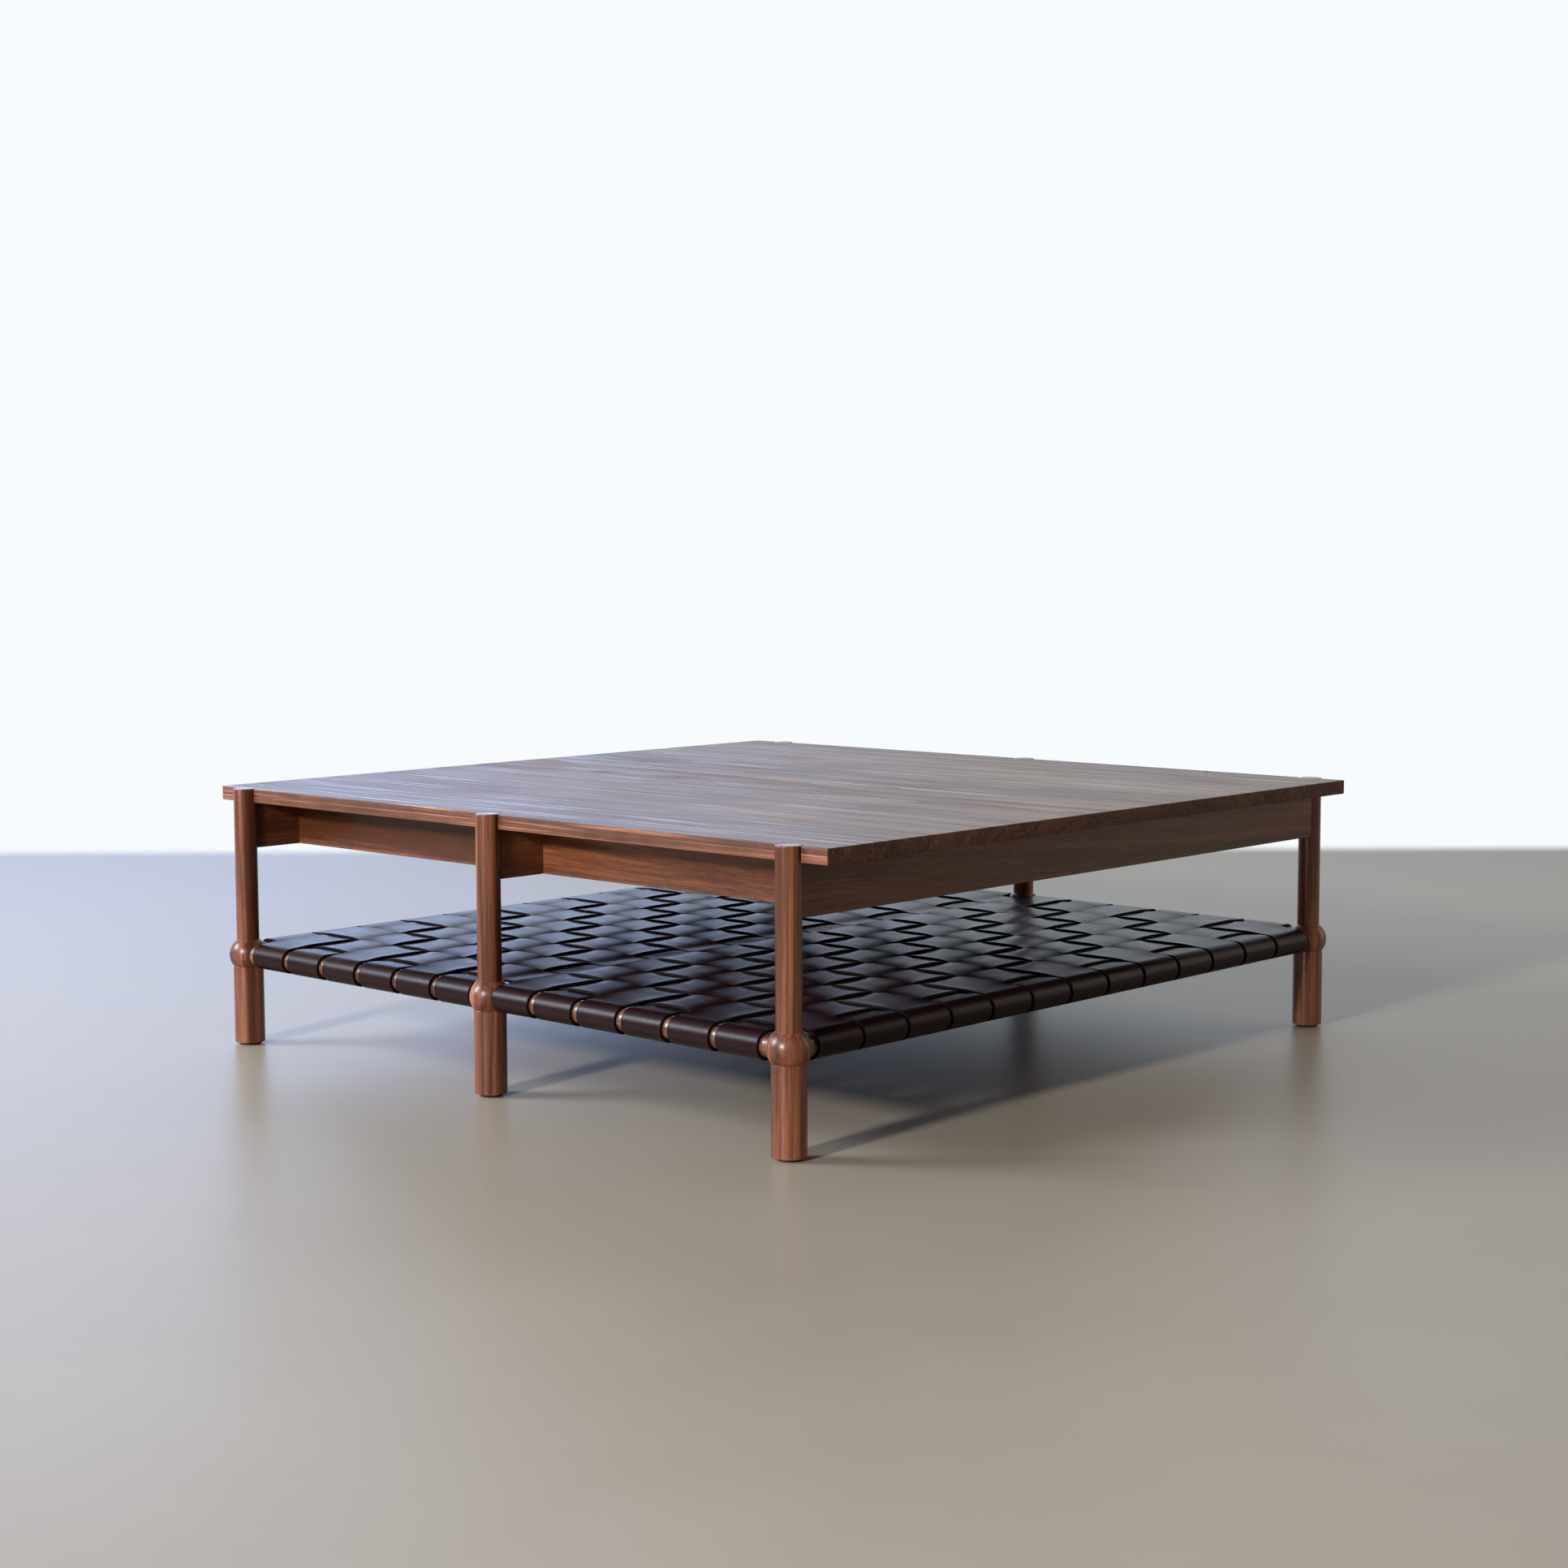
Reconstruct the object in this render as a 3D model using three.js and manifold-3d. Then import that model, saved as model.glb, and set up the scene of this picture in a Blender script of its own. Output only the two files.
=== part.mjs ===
// Low coffee table with turned ball legs, a notched plank top and a shelf of woven leather straps.
//
// X runs along the boards of the top, Y across them and Z up from the floor. The origin is on the
// floor under the middle of the table. The front is the -Y side, the left is the -X side.
// All lengths are in millimetres.

import * as THREE from 'three';
import { mergeVertices } from 'three/addons/utils/BufferGeometryUtils.js';
import Module from 'manifold-3d';

const wasm = await Module();
wasm.setup();

// Overall sizes.
const tableHeight = 382.5;
const topLength = 1219;
const topDepth = 1167;
const topThickness = 20.5;
const topArris = 1.2;

// Legs: a thick lower part, a ball where the shelf rails meet, and a thinner upper part.
const legInset = 61;
const legOverhang = 2.5;
const lowerLegRadius = 22;
const upperLegRadius = 16.5;
const ballRadius = 27.6;
const ballHeight = 135;
const ballCollarRadius = 18;
const footChamfer = 1;
const headChamfer = 0.8;
const collarGrooveDepth = 0.7;
const collarGrooveWidth = 1.6;
const glideThickness = 3;
const glideRadius = 15.5;
const notchReveal = 2;

// Beams and rails under the top.
const railThickness = 22.5;
const railHeight = 68;
const longRailInset = 86;
const beamTenonThickness = 10;
const beamTenonShoulder = 10;
const beamTenonReach = 22;
const railTenonLength = 8.5;

// Buttons that hold the top down.
const buttonLength = 38;
const buttonWidth = 30;
const buttonHeight = 22;
const buttonTongueDepth = 9;
const buttonTongueThickness = 9;
const buttonPlay = 2;

// Round rails of the shelf.
const shelfRailRadius = 14.7;
const shelfTenonRadius = 9.5;
const shelfTenonTip = 12;

// Leather straps. Their width follows from how many of them share a rail, and the gaps between them.
const strapThickness = 3.6;
const strapGapAtFront = 11.45;
const strapGapAtSide = 5;
const strapCrossingClearance = 0.45;
const strapEdgeRun = 1;
const bareNeckAtFront = 12.4;
const bareNeckAtSide = 11.1;

// Clearance between two pieces that are fitted to each other.
const fit = 0.3;

// How far a cutter runs past what it cuts.
const overrun = 2;

// Counts, angles and shares.
const strapsPerFrontRail = 6;
const strapsPerSideRail = 13;
const buttonShares = [0.25, 0.75];
const legSides = 20;
const ballSteps = 8;
const notchSteps = 10;
const shelfRailSides = 20;
const glideSides = 20;
const wrapSteps = 8;
const wrapStart = THREE.MathUtils.degToRad(-120);
const wrapEnd = THREE.MathUtils.degToRad(90);

// Places that follow from the sizes.
const legX = topLength / 2 - legInset;
const legY = topDepth / 2 + legOverhang;
const topUnderside = tableHeight - topThickness;
const railTop = topUnderside - fit;
const railBottom = railTop - railHeight;
const longRailY = topDepth / 2 - longRailInset - railThickness / 2;
const legFoot = glideThickness + fit;

const walnut = { color: 0x6e452d, roughness: 0.42, metalness: 0 };
const darkerWalnut = { color: 0x5c3924, roughness: 0.45, metalness: 0 };
const leather = { color: 0x2a1c1d, roughness: 0.36, metalness: 0 };
const glideFelt = { color: 0x1d1b1a, roughness: 0.9, metalness: 0 };

const table = new THREE.Group();

// Solids and pieces.

// Turns a closed geometry into a solid that can be cut and joined.
function toSolid(geometry) {
  const bare = geometry.clone();
  bare.deleteAttribute('normal');
  bare.deleteAttribute('uv');
  const merged = mergeVertices(bare);
  const index = merged.index.array;
  const triangles = [];
  for (let i = 0; i < index.length; i += 3) {
    const [a, b, c] = [index[i], index[i + 1], index[i + 2]];
    if (a !== b && b !== c && c !== a) triangles.push(a, b, c);
  }
  return new wasm.Manifold(new wasm.Mesh({
    numProp: 3,
    vertProperties: Float32Array.from(merged.attributes.position.array),
    triVerts: Uint32Array.from(triangles),
  }));
}

function toGeometry(solid) {
  const mesh = solid.getMesh();
  const geometry = new THREE.BufferGeometry();
  geometry.setAttribute('position', new THREE.BufferAttribute(mesh.vertProperties, 3));
  geometry.setIndex(new THREE.BufferAttribute(mesh.triVerts, 1));
  const faceted = geometry.toNonIndexed();
  faceted.computeVertexNormals();
  return faceted;
}

function addPiece(name, geometry, finish, position = new THREE.Vector3(), turn = 0) {
  const mesh = new THREE.Mesh(geometry, new THREE.MeshStandardMaterial(finish));
  mesh.name = name;
  mesh.position.copy(position);
  mesh.rotation.z = turn;
  table.add(mesh);
}

// A box between two corners.
function boxBetween(low, high) {
  const size = new THREE.Vector3().subVectors(high, low);
  const middle = new THREE.Vector3().addVectors(low, high).multiplyScalar(0.5);
  return new THREE.BoxGeometry(size.x, size.y, size.z).translate(middle.x, middle.y, middle.z);
}

// A turned shape about the Z axis, from [radius, height] pairs that start and end on the axis.
function turned(profile, sides) {
  const points = profile.map(([radius, height]) => new THREE.Vector2(radius, height));
  return new THREE.LatheGeometry(points, sides).rotateX(Math.PI / 2);
}

// A round bar whose axis lies along a horizontal direction, from one distance to another.
function barAlong(direction, from, to, radius, sides) {
  const bar = new THREE.CylinderGeometry(radius, radius, to - from, sides);
  bar.rotateZ(-Math.PI / 2);
  bar.translate((from + to) / 2, 0, 0);
  bar.rotateZ(Math.atan2(direction.y, direction.x));
  return bar;
}

// Legs and their glides.

// Profile of the ball between two heights, measured from its own centre.
function ballArc(radius, fromHeight, toHeight, steps) {
  const start = Math.asin(fromHeight / radius);
  const end = Math.asin(toHeight / radius);
  return Array.from({ length: steps + 1 }, (_, k) => {
    const angle = THREE.MathUtils.lerp(start, end, k / steps);
    return [radius * Math.cos(angle), radius * Math.sin(angle)];
  });
}

const ballBottom = -Math.sqrt(ballRadius ** 2 - lowerLegRadius ** 2);
const ballTop = Math.sqrt(ballRadius ** 2 - ballCollarRadius ** 2);

function legProfile() {
  const arc = ballArc(ballRadius, ballBottom, ballTop, ballSteps);
  const ball = arc.map(([radius, height]) => [radius, ballHeight + height]);
  const grooveBottom = ballHeight + ballBottom - collarGrooveWidth;
  const collar = ballHeight + ballTop;
  return [
    [0, legFoot],
    [lowerLegRadius - footChamfer, legFoot],
    [lowerLegRadius, legFoot + footChamfer],
    [lowerLegRadius, grooveBottom],
    [lowerLegRadius - collarGrooveDepth, grooveBottom + collarGrooveWidth / 2],
    ...ball,
    [upperLegRadius - collarGrooveDepth, collar + collarGrooveWidth / 2],
    [upperLegRadius, collar + collarGrooveWidth],
    [upperLegRadius, tableHeight - headChamfer],
    [upperLegRadius - headChamfer, tableHeight],
    [0, tableHeight],
  ];
}

const beamTenonLow = railBottom + beamTenonShoulder;
const beamTenonHigh = railTop - beamTenonShoulder;
const beamTenonTip = upperLegRadius - beamTenonReach;

// The pocket in a leg for the tenon of its cross beam. inward is +1 or -1 along Y.
function beamMortise(inward) {
  const halfThickness = beamTenonThickness / 2 + fit;
  const tip = (beamTenonTip - fit) * inward;
  const mouth = (upperLegRadius + overrun) * inward;
  return toSolid(boxBetween(
    new THREE.Vector3(-halfThickness, Math.min(tip, mouth), beamTenonLow - fit),
    new THREE.Vector3(halfThickness, Math.max(tip, mouth), beamTenonHigh + fit),
  ));
}

// The bore in a ball for the tenon of a shelf rail.
function railBore(direction) {
  const bore = barAlong(
    direction, shelfTenonTip - fit, ballRadius + overrun, shelfTenonRadius + fit, shelfRailSides);
  return toSolid(bore.translate(0, 0, ballHeight));
}

const legNames = { '-1': 'left', 0: 'middle', 1: 'right' };
const sideNames = { '-1': 'front', 1: 'rear' };
const plainLeg = toSolid(turned(legProfile(), legSides));

for (const side of [-1, 1]) {
  for (const place of [-1, 0, 1]) {
    const boreDirections = place === 0
      ? [new THREE.Vector2(-1, 0), new THREE.Vector2(1, 0)]
      : [new THREE.Vector2(-place, 0), new THREE.Vector2(0, -side)];
    let leg = plainLeg.subtract(beamMortise(-side));
    for (const direction of boreDirections) leg = leg.subtract(railBore(direction));
    const name = `${sideNames[side]}_${legNames[place]}`;
    const foot = new THREE.Vector3(place * legX, side * legY, 0);
    addPiece(`leg_${name}`, toGeometry(leg), walnut, foot);

    const glide = new THREE.CylinderGeometry(glideRadius, glideRadius, glideThickness, glideSides);
    glide.rotateX(Math.PI / 2).translate(0, 0, glideThickness / 2);
    addPiece(`glide_${name}`, glide, glideFelt, foot);
  }
}

// Table top.

// One long edge of the top, walked along its direction, with a round notch at each leg.
function notchedEdge(outline, side) {
  const radius = upperLegRadius + notchReveal;
  const reach = Math.asin(legOverhang / radius);
  for (const place of [-1, 0, 1]) {
    const x = -side * place * legX;
    for (let k = 0; k <= notchSteps; k += 1) {
      const share = k / notchSteps;
      const angle = THREE.MathUtils.lerp(Math.PI - reach, reach, share);
      const along = radius * Math.cos(angle);
      outline.lineTo(x - side * along, side * (legY - radius * Math.sin(angle)));
    }
  }
}

function topOutline() {
  const outline = new THREE.Shape();
  const [halfLength, halfDepth] = [topLength / 2, topDepth / 2];
  outline.moveTo(-halfLength, -halfDepth);
  notchedEdge(outline, -1);
  outline.lineTo(halfLength, -halfDepth);
  outline.lineTo(halfLength, halfDepth);
  notchedEdge(outline, 1);
  outline.lineTo(-halfLength, halfDepth);
  return outline;
}

const topPanel = new THREE.ExtrudeGeometry(topOutline(), {
  depth: topThickness - 2 * topArris,
  bevelThickness: topArris,
  bevelSize: topArris,
  bevelOffset: -topArris,
  bevelSegments: 1,
});
topPanel.translate(0, 0, topUnderside + topArris);
addPiece('table_top', topPanel, walnut);

// Cross beams, long rails and the buttons on them.

const railTenonTip = railThickness / 2 - railTenonLength;

// The tenon at one end of a long rail, or the pocket for it when grown by a clearance.
function railTenon(fromX, toX, y, clearance) {
  const halfThickness = beamTenonThickness / 2 + clearance;
  return toSolid(boxBetween(
    new THREE.Vector3(Math.min(fromX, toX), y - halfThickness, beamTenonLow - clearance),
    new THREE.Vector3(Math.max(fromX, toX), y + halfThickness, beamTenonHigh + clearance),
  ));
}

function legCutter(radius, x, y) {
  const [low, high] = [railBottom - overrun, railTop + overrun];
  const cutter = turned([[0, low], [radius, low], [radius, high], [0, high]], legSides);
  return toSolid(cutter.translate(x, y, 0));
}

for (const place of [-1, 0, 1]) {
  let beam = toSolid(boxBetween(
    new THREE.Vector3(-railThickness / 2, -legY, railBottom),
    new THREE.Vector3(railThickness / 2, legY, railTop),
  ));
  for (const side of [-1, 1]) beam = beam.subtract(legCutter(upperLegRadius + fit, 0, side * legY));
  const tip = legY - beamTenonTip;
  beam = beam.add(toSolid(boxBetween(
    new THREE.Vector3(-beamTenonThickness / 2, -tip, beamTenonLow),
    new THREE.Vector3(beamTenonThickness / 2, tip, beamTenonHigh),
  )));
  // The long rails come in from the inner side of an end beam, and from both sides of the middle one.
  const railSides = place === 0 ? [-1, 1] : [-place];
  for (const towards of railSides) {
    for (const side of [-1, 1]) {
      const bottom = (railTenonTip - fit) * towards;
      const mouth = (railThickness / 2 + overrun) * towards;
      beam = beam.subtract(railTenon(bottom, mouth, side * longRailY, fit));
    }
  }
  addPiece(`cross_beam_${legNames[place]}`, toGeometry(beam), darkerWalnut,
    new THREE.Vector3(place * legX, 0, 0));
}

const bayLow = railThickness / 2 + fit;
const bayHigh = legX - railThickness / 2 - fit;
const bayLength = bayHigh - bayLow;
const tongueLow = railTop - buttonHeight;

for (const side of [-1, 1]) {
  for (const bay of [-1, 1]) {
    const [near, far] = [bayLow * bay, bayHigh * bay];
    let rail = toSolid(boxBetween(
      new THREE.Vector3(Math.min(near, far), side * longRailY - railThickness / 2, railBottom),
      new THREE.Vector3(Math.max(near, far), side * longRailY + railThickness / 2, railTop),
    ));
    const nearTip = railTenonTip * bay;
    const farTip = (legX - railTenonTip) * bay;
    rail = rail.add(railTenon(nearTip, farTip, side * longRailY, 0));

    // Each button's tongue sits in a short slot in the rail's inner face.
    const innerFace = side * (longRailY - railThickness / 2);
    const name = `${sideNames[side]}_${legNames[bay]}`;
    for (const [index, share] of buttonShares.entries()) {
      const x = bay * (bayLow + share * bayLength);
      const slotDepth = side * (buttonTongueDepth + fit);
      const slotMouth = -side * overrun;
      const halfSlot = buttonLength / 2 + buttonPlay;
      rail = rail.subtract(toSolid(boxBetween(
        new THREE.Vector3(x - halfSlot, innerFace + Math.min(slotDepth, slotMouth), tongueLow - fit),
        new THREE.Vector3(x + halfSlot, innerFace + Math.max(slotDepth, slotMouth),
          tongueLow + buttonTongueThickness + fit),
      )));
      addPiece(`top_button_${name}_${index + 1}`, buttonGeometry(), darkerWalnut,
        new THREE.Vector3(x, innerFace - side * fit, tongueLow), side > 0 ? 0 : Math.PI);
    }
    addPiece(`long_rail_${name}`, toGeometry(rail), darkerWalnut);
  }
}

// A button: a block under the top with a tongue along its lower edge. The tongue points to +Y.
function buttonGeometry() {
  const outline = new THREE.Shape();
  outline.moveTo(-buttonWidth, 0);
  outline.lineTo(buttonTongueDepth, 0);
  outline.lineTo(buttonTongueDepth, buttonTongueThickness);
  outline.lineTo(0, buttonTongueThickness);
  outline.lineTo(0, buttonHeight);
  outline.lineTo(-buttonWidth, buttonHeight);
  const block = new THREE.ExtrudeGeometry(outline, { depth: buttonLength, bevelEnabled: false });
  block.translate(0, 0, -buttonLength / 2);
  block.rotateX(Math.PI / 2);
  block.rotateZ(Math.PI / 2);
  return block;
}

// Round shelf rails.

// The space that a ball takes, with its clearance, at a leg's place.
function ballCutter(x, y) {
  const radius = ballRadius + fit;
  const arc = ballArc(radius, -radius, radius, 2 * ballSteps);
  return toSolid(turned(arc, legSides).translate(x, y, 0));
}

// A rail between two balls, with its axis along local X and a round tenon at each end.
function shelfRail(length) {
  const half = length / 2;
  const along = new THREE.Vector2(1, 0);
  const body = toSolid(barAlong(along, -half, half, shelfRailRadius, shelfRailSides));
  const tip = half - shelfTenonTip;
  const tenons = toSolid(barAlong(along, -tip, tip, shelfTenonRadius, shelfRailSides));
  const scribed = body.subtract(ballCutter(-half, 0)).subtract(ballCutter(half, 0));
  return toGeometry(scribed.add(tenons));
}

for (const side of [-1, 1]) {
  for (const bay of [-1, 1]) {
    addPiece(`shelf_rail_${sideNames[side]}_${legNames[bay]}`, shelfRail(legX), walnut,
      new THREE.Vector3(bay * legX / 2, side * legY, ballHeight));
  }
}
for (const end of [-1, 1]) {
  addPiece(`shelf_rail_side_${legNames[end]}`, shelfRail(2 * legY), walnut,
    new THREE.Vector3(end * legX, 0, ballHeight), Math.PI / 2);
}

// Woven straps.

const wrapStep = (wrapEnd - wrapStart) / wrapSteps;
const wrapRadius = (shelfRailRadius + fit + strapThickness / 2) / Math.cos(wrapStep / 2);
const strapLift = (strapThickness + strapCrossingClearance) / 2;
const shelfMiddle = ballHeight + wrapRadius - strapLift;

// How far from a leg's axis the ball reaches at a distance from the rail's axis.
function ballReach(fromRailAxis) {
  return Math.sqrt(ballRadius ** 2 - fromRailAxis ** 2);
}

// A row of straps that fills the space between two places: their width and their centres.
function strapRow(low, high, count, gap) {
  const pitch = (high - low + gap) / count;
  const width = pitch - gap;
  const centres = Array.from({ length: count }, (_, k) => low + width / 2 + k * pitch);
  return { width, centres };
}

const frontLow = ballReach(shelfRailRadius + fit) + fit;
const frontHigh = legX - ballReach(shelfRailRadius) - bareNeckAtFront;
const rightBay = strapRow(frontLow, frontHigh, strapsPerFrontRail, strapGapAtFront);
const acrossRow = {
  width: rightBay.width,
  centres: [...rightBay.centres.map((x) => -x).reverse(), ...rightBay.centres],
};
const sideHigh = legY - ballReach(shelfRailRadius) - bareNeckAtSide;
const alongRow = strapRow(-sideHigh, sideHigh, strapsPerSideRail, strapGapAtSide);

// The middle line of a strap seen from its edge: round one rail, over and under the row of straps
// that cross it, and round the other rail. isOver tells whether it passes over crossing number k.
function strapLine(railDistance, crossed, isOver) {
  const wrap = Array.from({ length: wrapSteps + 1 }, (_, k) => {
    const angle = wrapStart + k * wrapStep;
    return [railDistance + wrapRadius * Math.cos(angle), ballHeight + wrapRadius * Math.sin(angle)];
  });
  const half = crossed.width / 2 + strapEdgeRun;
  const weave = crossed.centres.flatMap((centre, k) => {
    const height = shelfMiddle + (isOver(k) ? strapLift : -strapLift);
    return [[centre - half, height], [centre + half, height]];
  });
  const farWrap = wrap.slice().reverse();
  return [...wrap.map(([s, z]) => [-s, z]), ...weave, ...farWrap];
}

// Moves a line sideways by an offset, with mitred corners.
function offsetLine(line, offset) {
  const points = line.map(([s, z]) => new THREE.Vector2(s, z));
  const normals = points.slice(1).map((point, k) => {
    const run = point.clone().sub(points[k]).normalize();
    return new THREE.Vector2(-run.y, run.x);
  });
  return points.map((point, k) => {
    const before = normals[Math.max(k - 1, 0)];
    const after = normals[Math.min(k, normals.length - 1)];
    const mitre = before.clone().add(after).divideScalar(1 + before.dot(after));
    return point.clone().addScaledVector(mitre, offset);
  });
}

// The strap as a solid, with its length along local X and its width centred on local Y.
function strapGeometry(line, width) {
  const upper = offsetLine(line, strapThickness / 2);
  const lower = offsetLine(line, -strapThickness / 2);
  const outline = new THREE.Shape([...lower, ...upper.reverse()]);
  const strap = new THREE.ExtrudeGeometry(outline, { depth: width, bevelEnabled: false });
  return strap.translate(0, 0, -width / 2).rotateX(Math.PI / 2);
}

// A strap from front to rear passes over where the two strap numbers add up to an even number.
const acrossIsOver = (acrossIndex, alongIndex) => (acrossIndex + alongIndex) % 2 === 0;
const twoDigits = (index) => String(index + 1).padStart(2, '0');

acrossRow.centres.forEach((x, index) => {
  const line = strapLine(legY, alongRow, (crossing) => acrossIsOver(index, crossing));
  addPiece(`strap_across_${twoDigits(index)}`, strapGeometry(line, acrossRow.width), leather,
    new THREE.Vector3(x, 0, 0), Math.PI / 2);
});
alongRow.centres.forEach((y, index) => {
  const line = strapLine(legX, acrossRow, (crossing) => !acrossIsOver(crossing, index));
  addPiece(`strap_along_${twoDigits(index)}`, strapGeometry(line, alongRow.width), leather,
    new THREE.Vector3(0, y, 0));
});

export default table;
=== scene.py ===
"""Dresses a packed walnut coffee table: ball legs, a notched plank top and a woven leather shelf.

All lengths are in metres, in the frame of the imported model: +Z up, +X along the boards of the top,
and the front long side towards -Y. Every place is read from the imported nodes, so a piece lies
where its node does.
"""

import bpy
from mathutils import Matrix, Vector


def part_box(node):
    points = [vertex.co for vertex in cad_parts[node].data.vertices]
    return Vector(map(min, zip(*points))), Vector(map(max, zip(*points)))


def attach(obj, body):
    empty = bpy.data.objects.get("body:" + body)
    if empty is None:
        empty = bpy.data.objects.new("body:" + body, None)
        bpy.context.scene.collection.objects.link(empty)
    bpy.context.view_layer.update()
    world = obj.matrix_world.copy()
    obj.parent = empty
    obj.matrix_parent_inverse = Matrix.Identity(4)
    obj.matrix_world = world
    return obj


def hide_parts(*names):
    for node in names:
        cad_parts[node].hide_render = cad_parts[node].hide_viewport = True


bl_info = {
    "name": "Woven shelf coffee table",
    "version": (1, 0, 0),
    "blender": (4, 5, 0),
    "location": "View3D > Sidebar > Woven table",
    "description": "Builds the walnut and leather of a low coffee table round its packed model",
    "category": "Object",
}

import math

import bpy
import numpy as np
from bpy.props import FloatProperty, FloatVectorProperty, PointerProperty
from bpy.types import Operator, Panel, PropertyGroup
from mathutils import Matrix, Vector

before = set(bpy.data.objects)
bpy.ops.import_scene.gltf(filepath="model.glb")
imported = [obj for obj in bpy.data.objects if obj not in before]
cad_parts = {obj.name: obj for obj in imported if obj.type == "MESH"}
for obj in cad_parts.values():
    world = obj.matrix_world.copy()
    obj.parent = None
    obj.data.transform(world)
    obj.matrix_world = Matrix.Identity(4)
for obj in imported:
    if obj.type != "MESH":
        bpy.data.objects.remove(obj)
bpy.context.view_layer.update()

X, Y, Z = 0, 1, 2

# Camera, as worked out from the photograph.
CAMERA_PLACE = (2.64048, -2.84602, 0.74298)
CAMERA_YAW = math.radians(132.88)
CAMERA_PITCH = math.radians(-5.33)
CAMERA_ROLL = math.radians(-0.20)
CAMERA_LENS = 59.556
CAMERA_SENSOR = 36.0
CAMERA_CLIP = (0.05, 60.0)

# Directions of the bright backdrop and of the cold glow low in it, the dot products between which
# each rises, and the glow's strength.
BACKDROP_TOWARDS = (-0.855, 0.453, 0.252)
BACKDROP_RISE = (0.28, 0.95)
GLOW_TOWARDS = (-0.882, 0.469, 0.035)
GLOW_RISE = (0.90, 1.0)
GLOW_STRENGTH = 2.1

# Half the floor's length, the direction from the table square to the line behind it where the
# floor ends, and the distances between which the floor fades there and all round.
FLOOR_REACH = 3.8
WALL_TOWARDS = (-0.680, 0.733, 0.0)
WALL_FADE = (2.25, 2.45)
ROUND_FADE = (3.0, 3.7)

# Soft panel lights, which face one point: place, width, height, power in watts and colour.
LIGHTS_FACE = (0.0, 0.0, 0.25)
PANEL_LIGHTS = {
    "key_panel": ((1.0, -7.6, 2.85), 0.7, 0.7, 600.0, (1.0, 0.95, 0.91)),
    "front_panel": ((0.0, -5.4, 0.33), 2.6, 0.55, 14.0, (1.0, 0.95, 0.91)),
    "right_panel": ((2.3, 3.0, 1.3), 1.6, 2.2, 20.0, (1.0, 0.88, 0.76)),
    "left_panel": ((-3.1, -3.2, 2.3), 1.7, 1.5, 245.0, (0.82, 0.89, 1.0)),
}

# Joints between the six boards of the top, as places across the table, and the boards' tones.
BOARD_JOINTS = (-0.4122, -0.1041, 0.1018, 0.2393, 0.3352)
BOARD_TONES = (-0.13, -0.02, 0.06, -0.10, 0.14, -0.04)

# How far white noise moves each board in its log, where all of them lie in it, and their figure.
BOARD_SHIFT = (9.0, 0.22, 0.05)
BOARD_FROM_HEART = (0.0, -0.11, 0.045)
BOARDS = {"ring": 0.0046, "spread": 1.4, "streaks": 0.65}

# The dark line at a joint: the distances over which it fades, and its colour.
JOINT_LINE = (0.0001, 0.0004)
JOINT_SHADE = (0.012, 0.006, 0.004)

# Where the legs lay in their log: far from the heart, and rolled by so many degrees that the edges
# of the growth rings face the front corner.
LEG_LOG = {"heart": (0.16, 0.24), "slant": 0.02, "rolls": (128.0, 148.0)}

# Pieces of darker or lighter wood than the rest. Some of these tones are painted light: the two cross
# beams are darker partly as painted shade on their shaded faces, the front right leg is lighter partly
# as a painted highlight, and the rear right leg is lighter as painted light where the top shades it.
TONES_AND_PAINTED_LIGHT = {
    "long_rail_front_left": -0.36,
    "long_rail_front_right": -0.10,
    # Darker partly as painted shade, where the beams' faces lie in shade.
    "cross_beam_left": -0.28,
    "cross_beam_right": -0.16,
    "leg_front_left": -0.08,
    "leg_front_middle": -0.03,
    # Lighter as a painted highlight on the front right leg, and as painted light on the rear right
    # leg, which the top shades.
    "leg_front_right": 0.05,
    "leg_rear_right": 0.10,
}

# Figure and tint of the planed bars under the top, and of the legs.
PLANED = {
    "tint": (1.02, 0.97, 0.80),
    "figure_share": 0.45,
    "ring": 0.0085,
    "spread": 1.5,
    "streaks": 0.45,
}
TURNED = {"tint": (1.02, 0.95, 0.88)}

# Figure and tint of the round rails of the shelf, whose wood is greyer.
ROUND_RAILS = {"tone_shift": -0.14, "tint": (0.78, 0.96, 1.12), "figure_share": 0.6}

# Cells of each noise to a metre. Those of wood are along the grain and twice across it, and those
# of leather along a strap, across it and through it.
CELLS = {
    "sway": (1.3, 7.0, 7.0),
    "flutter": (9.0, 45.0, 45.0),
    "figure": (1.7, 14.0, 14.0),
    "fibre": (26.0, 1300.0, 1300.0),
    "pores": (130.0, 2600.0, 2600.0),
    "streak": (4.0, 210.0, 210.0),
    "silver": (3.0, 300.0, 300.0),
    "wear": 40.0,
    "smear": 5.0,
    "pebble": (700.0, 900.0, 700.0),
    "mottle": (22.0, 30.0, 30.0),
    "fuzz": 1500.0,
    "patch": 700.0,
    "cloud": 1.6,
}

# How far the broad sway and the fine flutter move the growth rings, which lie across the grain.
SWAY_REACH = (0.0, 0.030, 0.030)
FLUTTER_REACH = (0.0, 0.0016, 0.0016)
ACROSS_GRAIN = (0.0, 1.0, 1.0)

# Heights of the finest relief of each finish.
WOOD_RELIEF = 0.00012
PEBBLE_RELIEF = 0.00003
MOTTLE_RELIEF = 0.0001
FELT_RELIEF = 0.0004
STEEL_RELIEF = 0.00005

# First seed of each group of pieces, and the step between those of the two sets of straps.
LEG_SEED = 1
BEAM_SEED = 11
LONG_RAIL_SEED = 21
BUTTON_SEED = 31
SHELF_RAIL_SEED = 41
STRAP_SET_SEED = 1000

# How far apart two pieces lie in the log, and two straps or two sets of straps in the hide.
LOG_STEP = 3.0
HIDE_STEP = 5.0
HIDE_SET_STEP = 70.0

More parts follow.
